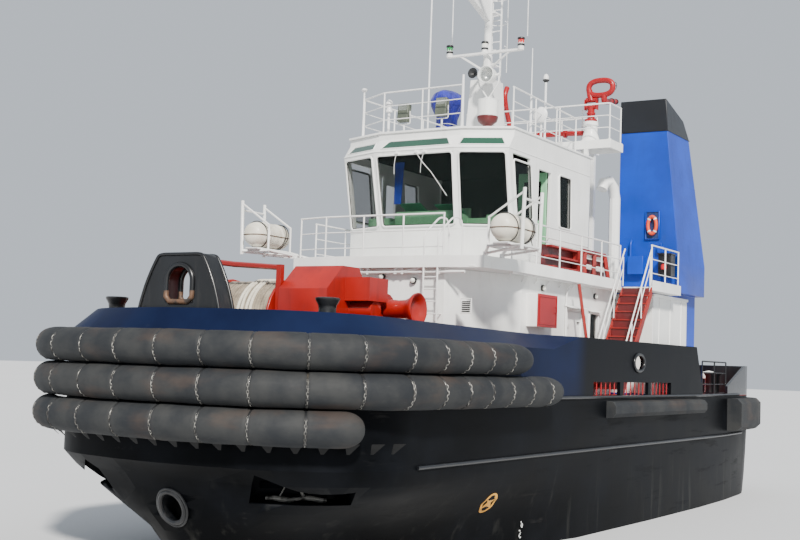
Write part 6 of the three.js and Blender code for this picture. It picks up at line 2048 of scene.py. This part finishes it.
@dataclass
class DeckGear(Assembly):
    """After deck and under-water gear: finishes for the hook, capstan, drives and screws."""

    def build(self) -> None:
        """Dresses the plain nodes with rounded edges and adds deck vents and zinc blocks."""
        self.dress("tow_hook", "winch_enamel", body="hook", bevel=0.015)
        self.dress("capstan", "winch_enamel", body="capstan_barrel", bevel=0.008)
        self.dress("tow_post", "black_enamel", bevel=0.015)
        for side in SIDES:
            self.dress(f"azimuth_drive_{side}", "black_enamel", body=f"drive_{side}", smooth=35)
            self.dress(f"propeller_{side}", "bronze_metal", body=f"screw_{side}")
        self.dress("bow_thruster_propeller", "bronze_metal", body="thruster_screw")
        vents = Surface()
        for x, y in ((-12.9, 2.2), (-6.9, 0.6)):
            vents.lathe([(0, 3.395), (0.14, 3.395), (0.13, 3.9), (0.26, 3.92), (0.27, 4.05),
                         (0.2, 4.16), (0, 4.2)], (x, y, 0), segments=28)
        self.put("deck_vents", vents.mirrored(), "white_enamel", smooth=45)
        hatch = Surface()
        hatch.block((-11.2, -0.45, 3.395), (-10.3, 0.45, 3.5))
        hatch.block((-11.25, -0.5, 3.5), (-10.25, 0.5, 3.53))
        for y in (-0.35, 0.35):
            hatch.tube([(-10.28, y - 0.06, 3.54), (-10.28, y + 0.06, 3.54)], 0.025, 10)
        self.put("deck_hatch", hatch, "stair_enamel", bevel=0.008, smooth=30)
        zincs = Surface()
        for x in (-4.5, -5.5, -6.5):
            zincs.block((x - 0.2, 0.128, -3.9), (x + 0.2, 0.17, -3.8))
        self.put("zinc_blocks", zincs.mirrored(), "bright_steel", bevel=0.012)


ASSEMBLIES = (Hull, BowFenders, GuardRails, Wheelhouse, BowGear, Mast, FireMonitors, Funnel,
              LifeRafts, Stairs, Deckhouse, Anchors, DeckGear)


@dataclass
class Studio:
    """Floor, soft light and the camera at the photograph's angle."""

    eye: Point = (31.61, 16.29, 4.15)
    look: Point = (-0.8500, -0.5220, 0.0728)
    up: Point = (0.0801, 0.0084, 0.9968)
    focal_px: float = 1249.9
    width_px: float = 800.0
    sensor: float = 36.0

    def camera(self) -> None:
        """A level-eyed camera whose axes are the measured view direction and up vector."""
        data = bpy.data.cameras.new("view")
        data.sensor_width = self.sensor
        data.lens = self.sensor * self.focal_px / self.width_px
        data.clip_end = 500
        back = -unit(np.array(self.look))
        right = unit(np.cross(self.up, back))
        upward = np.cross(back, right)
        view = linked("view", data)
        frame = np.eye(4)
        frame[:3, 0], frame[:3, 1], frame[:3, 2], frame[:3, 3] = right, upward, back, self.eye
        view.matrix_world = Matrix(frame.tolist())
        bpy.context.scene.camera = view

    def floor(self) -> None:
        """A wide pale sheet at the load line, with faint clouds in its tone."""
        g = Graph("studio_floor")
        g.set(Base_Color=g.mix(g.noise(0.05), (0.60, 0.61, 0.62, 1), (0.64, 0.65, 0.66, 1)),
              Roughness=0.75)
        mesh = bpy.data.meshes.new("floor")
        mesh.from_pydata([(-300, -300, 0), (300, -300, 0), (300, 300, 0), (-300, 300, 0)], [],
                         [(0, 1, 2, 3)])
        mesh.materials.append(g.material)
        linked("floor", mesh)

    def lights(self) -> None:
        """A pale sky and a soft sun from ahead and above."""
        world = bpy.data.worlds.new("studio")
        world.use_nodes = True
        background = world.node_tree.nodes["Background"]
        background.inputs["Color"].default_value = (0.84, 0.91, 1.0, 1)
        background.inputs["Strength"].default_value = 0.75
        bpy.context.scene.world = world
        sun = bpy.data.lights.new("sun", "SUN")
        sun.energy = 7.2
        sun.angle = math.radians(6)
        sun.color = (1.0, 0.96, 0.9)
        toward = Vector((0.62, 0.52, 0.62)).to_track_quat("Z", "Y").to_matrix().to_4x4()
        linked("sun", sun).matrix_world = Matrix.Translation((30, 30, 40)) @ toward

    def build(self) -> None:
        """Makes the whole studio."""
        self.camera()
        self.floor()
        self.lights()


def dress_rest(frame: dict, locker: Locker) -> None:
    """Gives every node that still shows its own mesh the finish of its slot."""
    slots = {row["node"]: row["material_slot"] for row in frame["record"]["subparts"]}
    for name, node in frame["nodes"].items():
        if not node.hide_render:
            node.material_slots[0].material = locker[FINISHES[Slot(slots[name])][0].name]


def main() -> None:
    """Builds the scene."""
    logging.basicConfig(level=logging.INFO, format="%(name)s %(message)s")
    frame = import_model()
    FRAME_NODES.update(frame["nodes"])
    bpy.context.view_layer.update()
    locker = Locker()
    Studio().build()
    for part in ASSEMBLIES:
        part(locker).build()
        LOG.info("built %s", part.__name__)
    dress_rest(frame, locker)


if __name__ == "__main__":
    main()
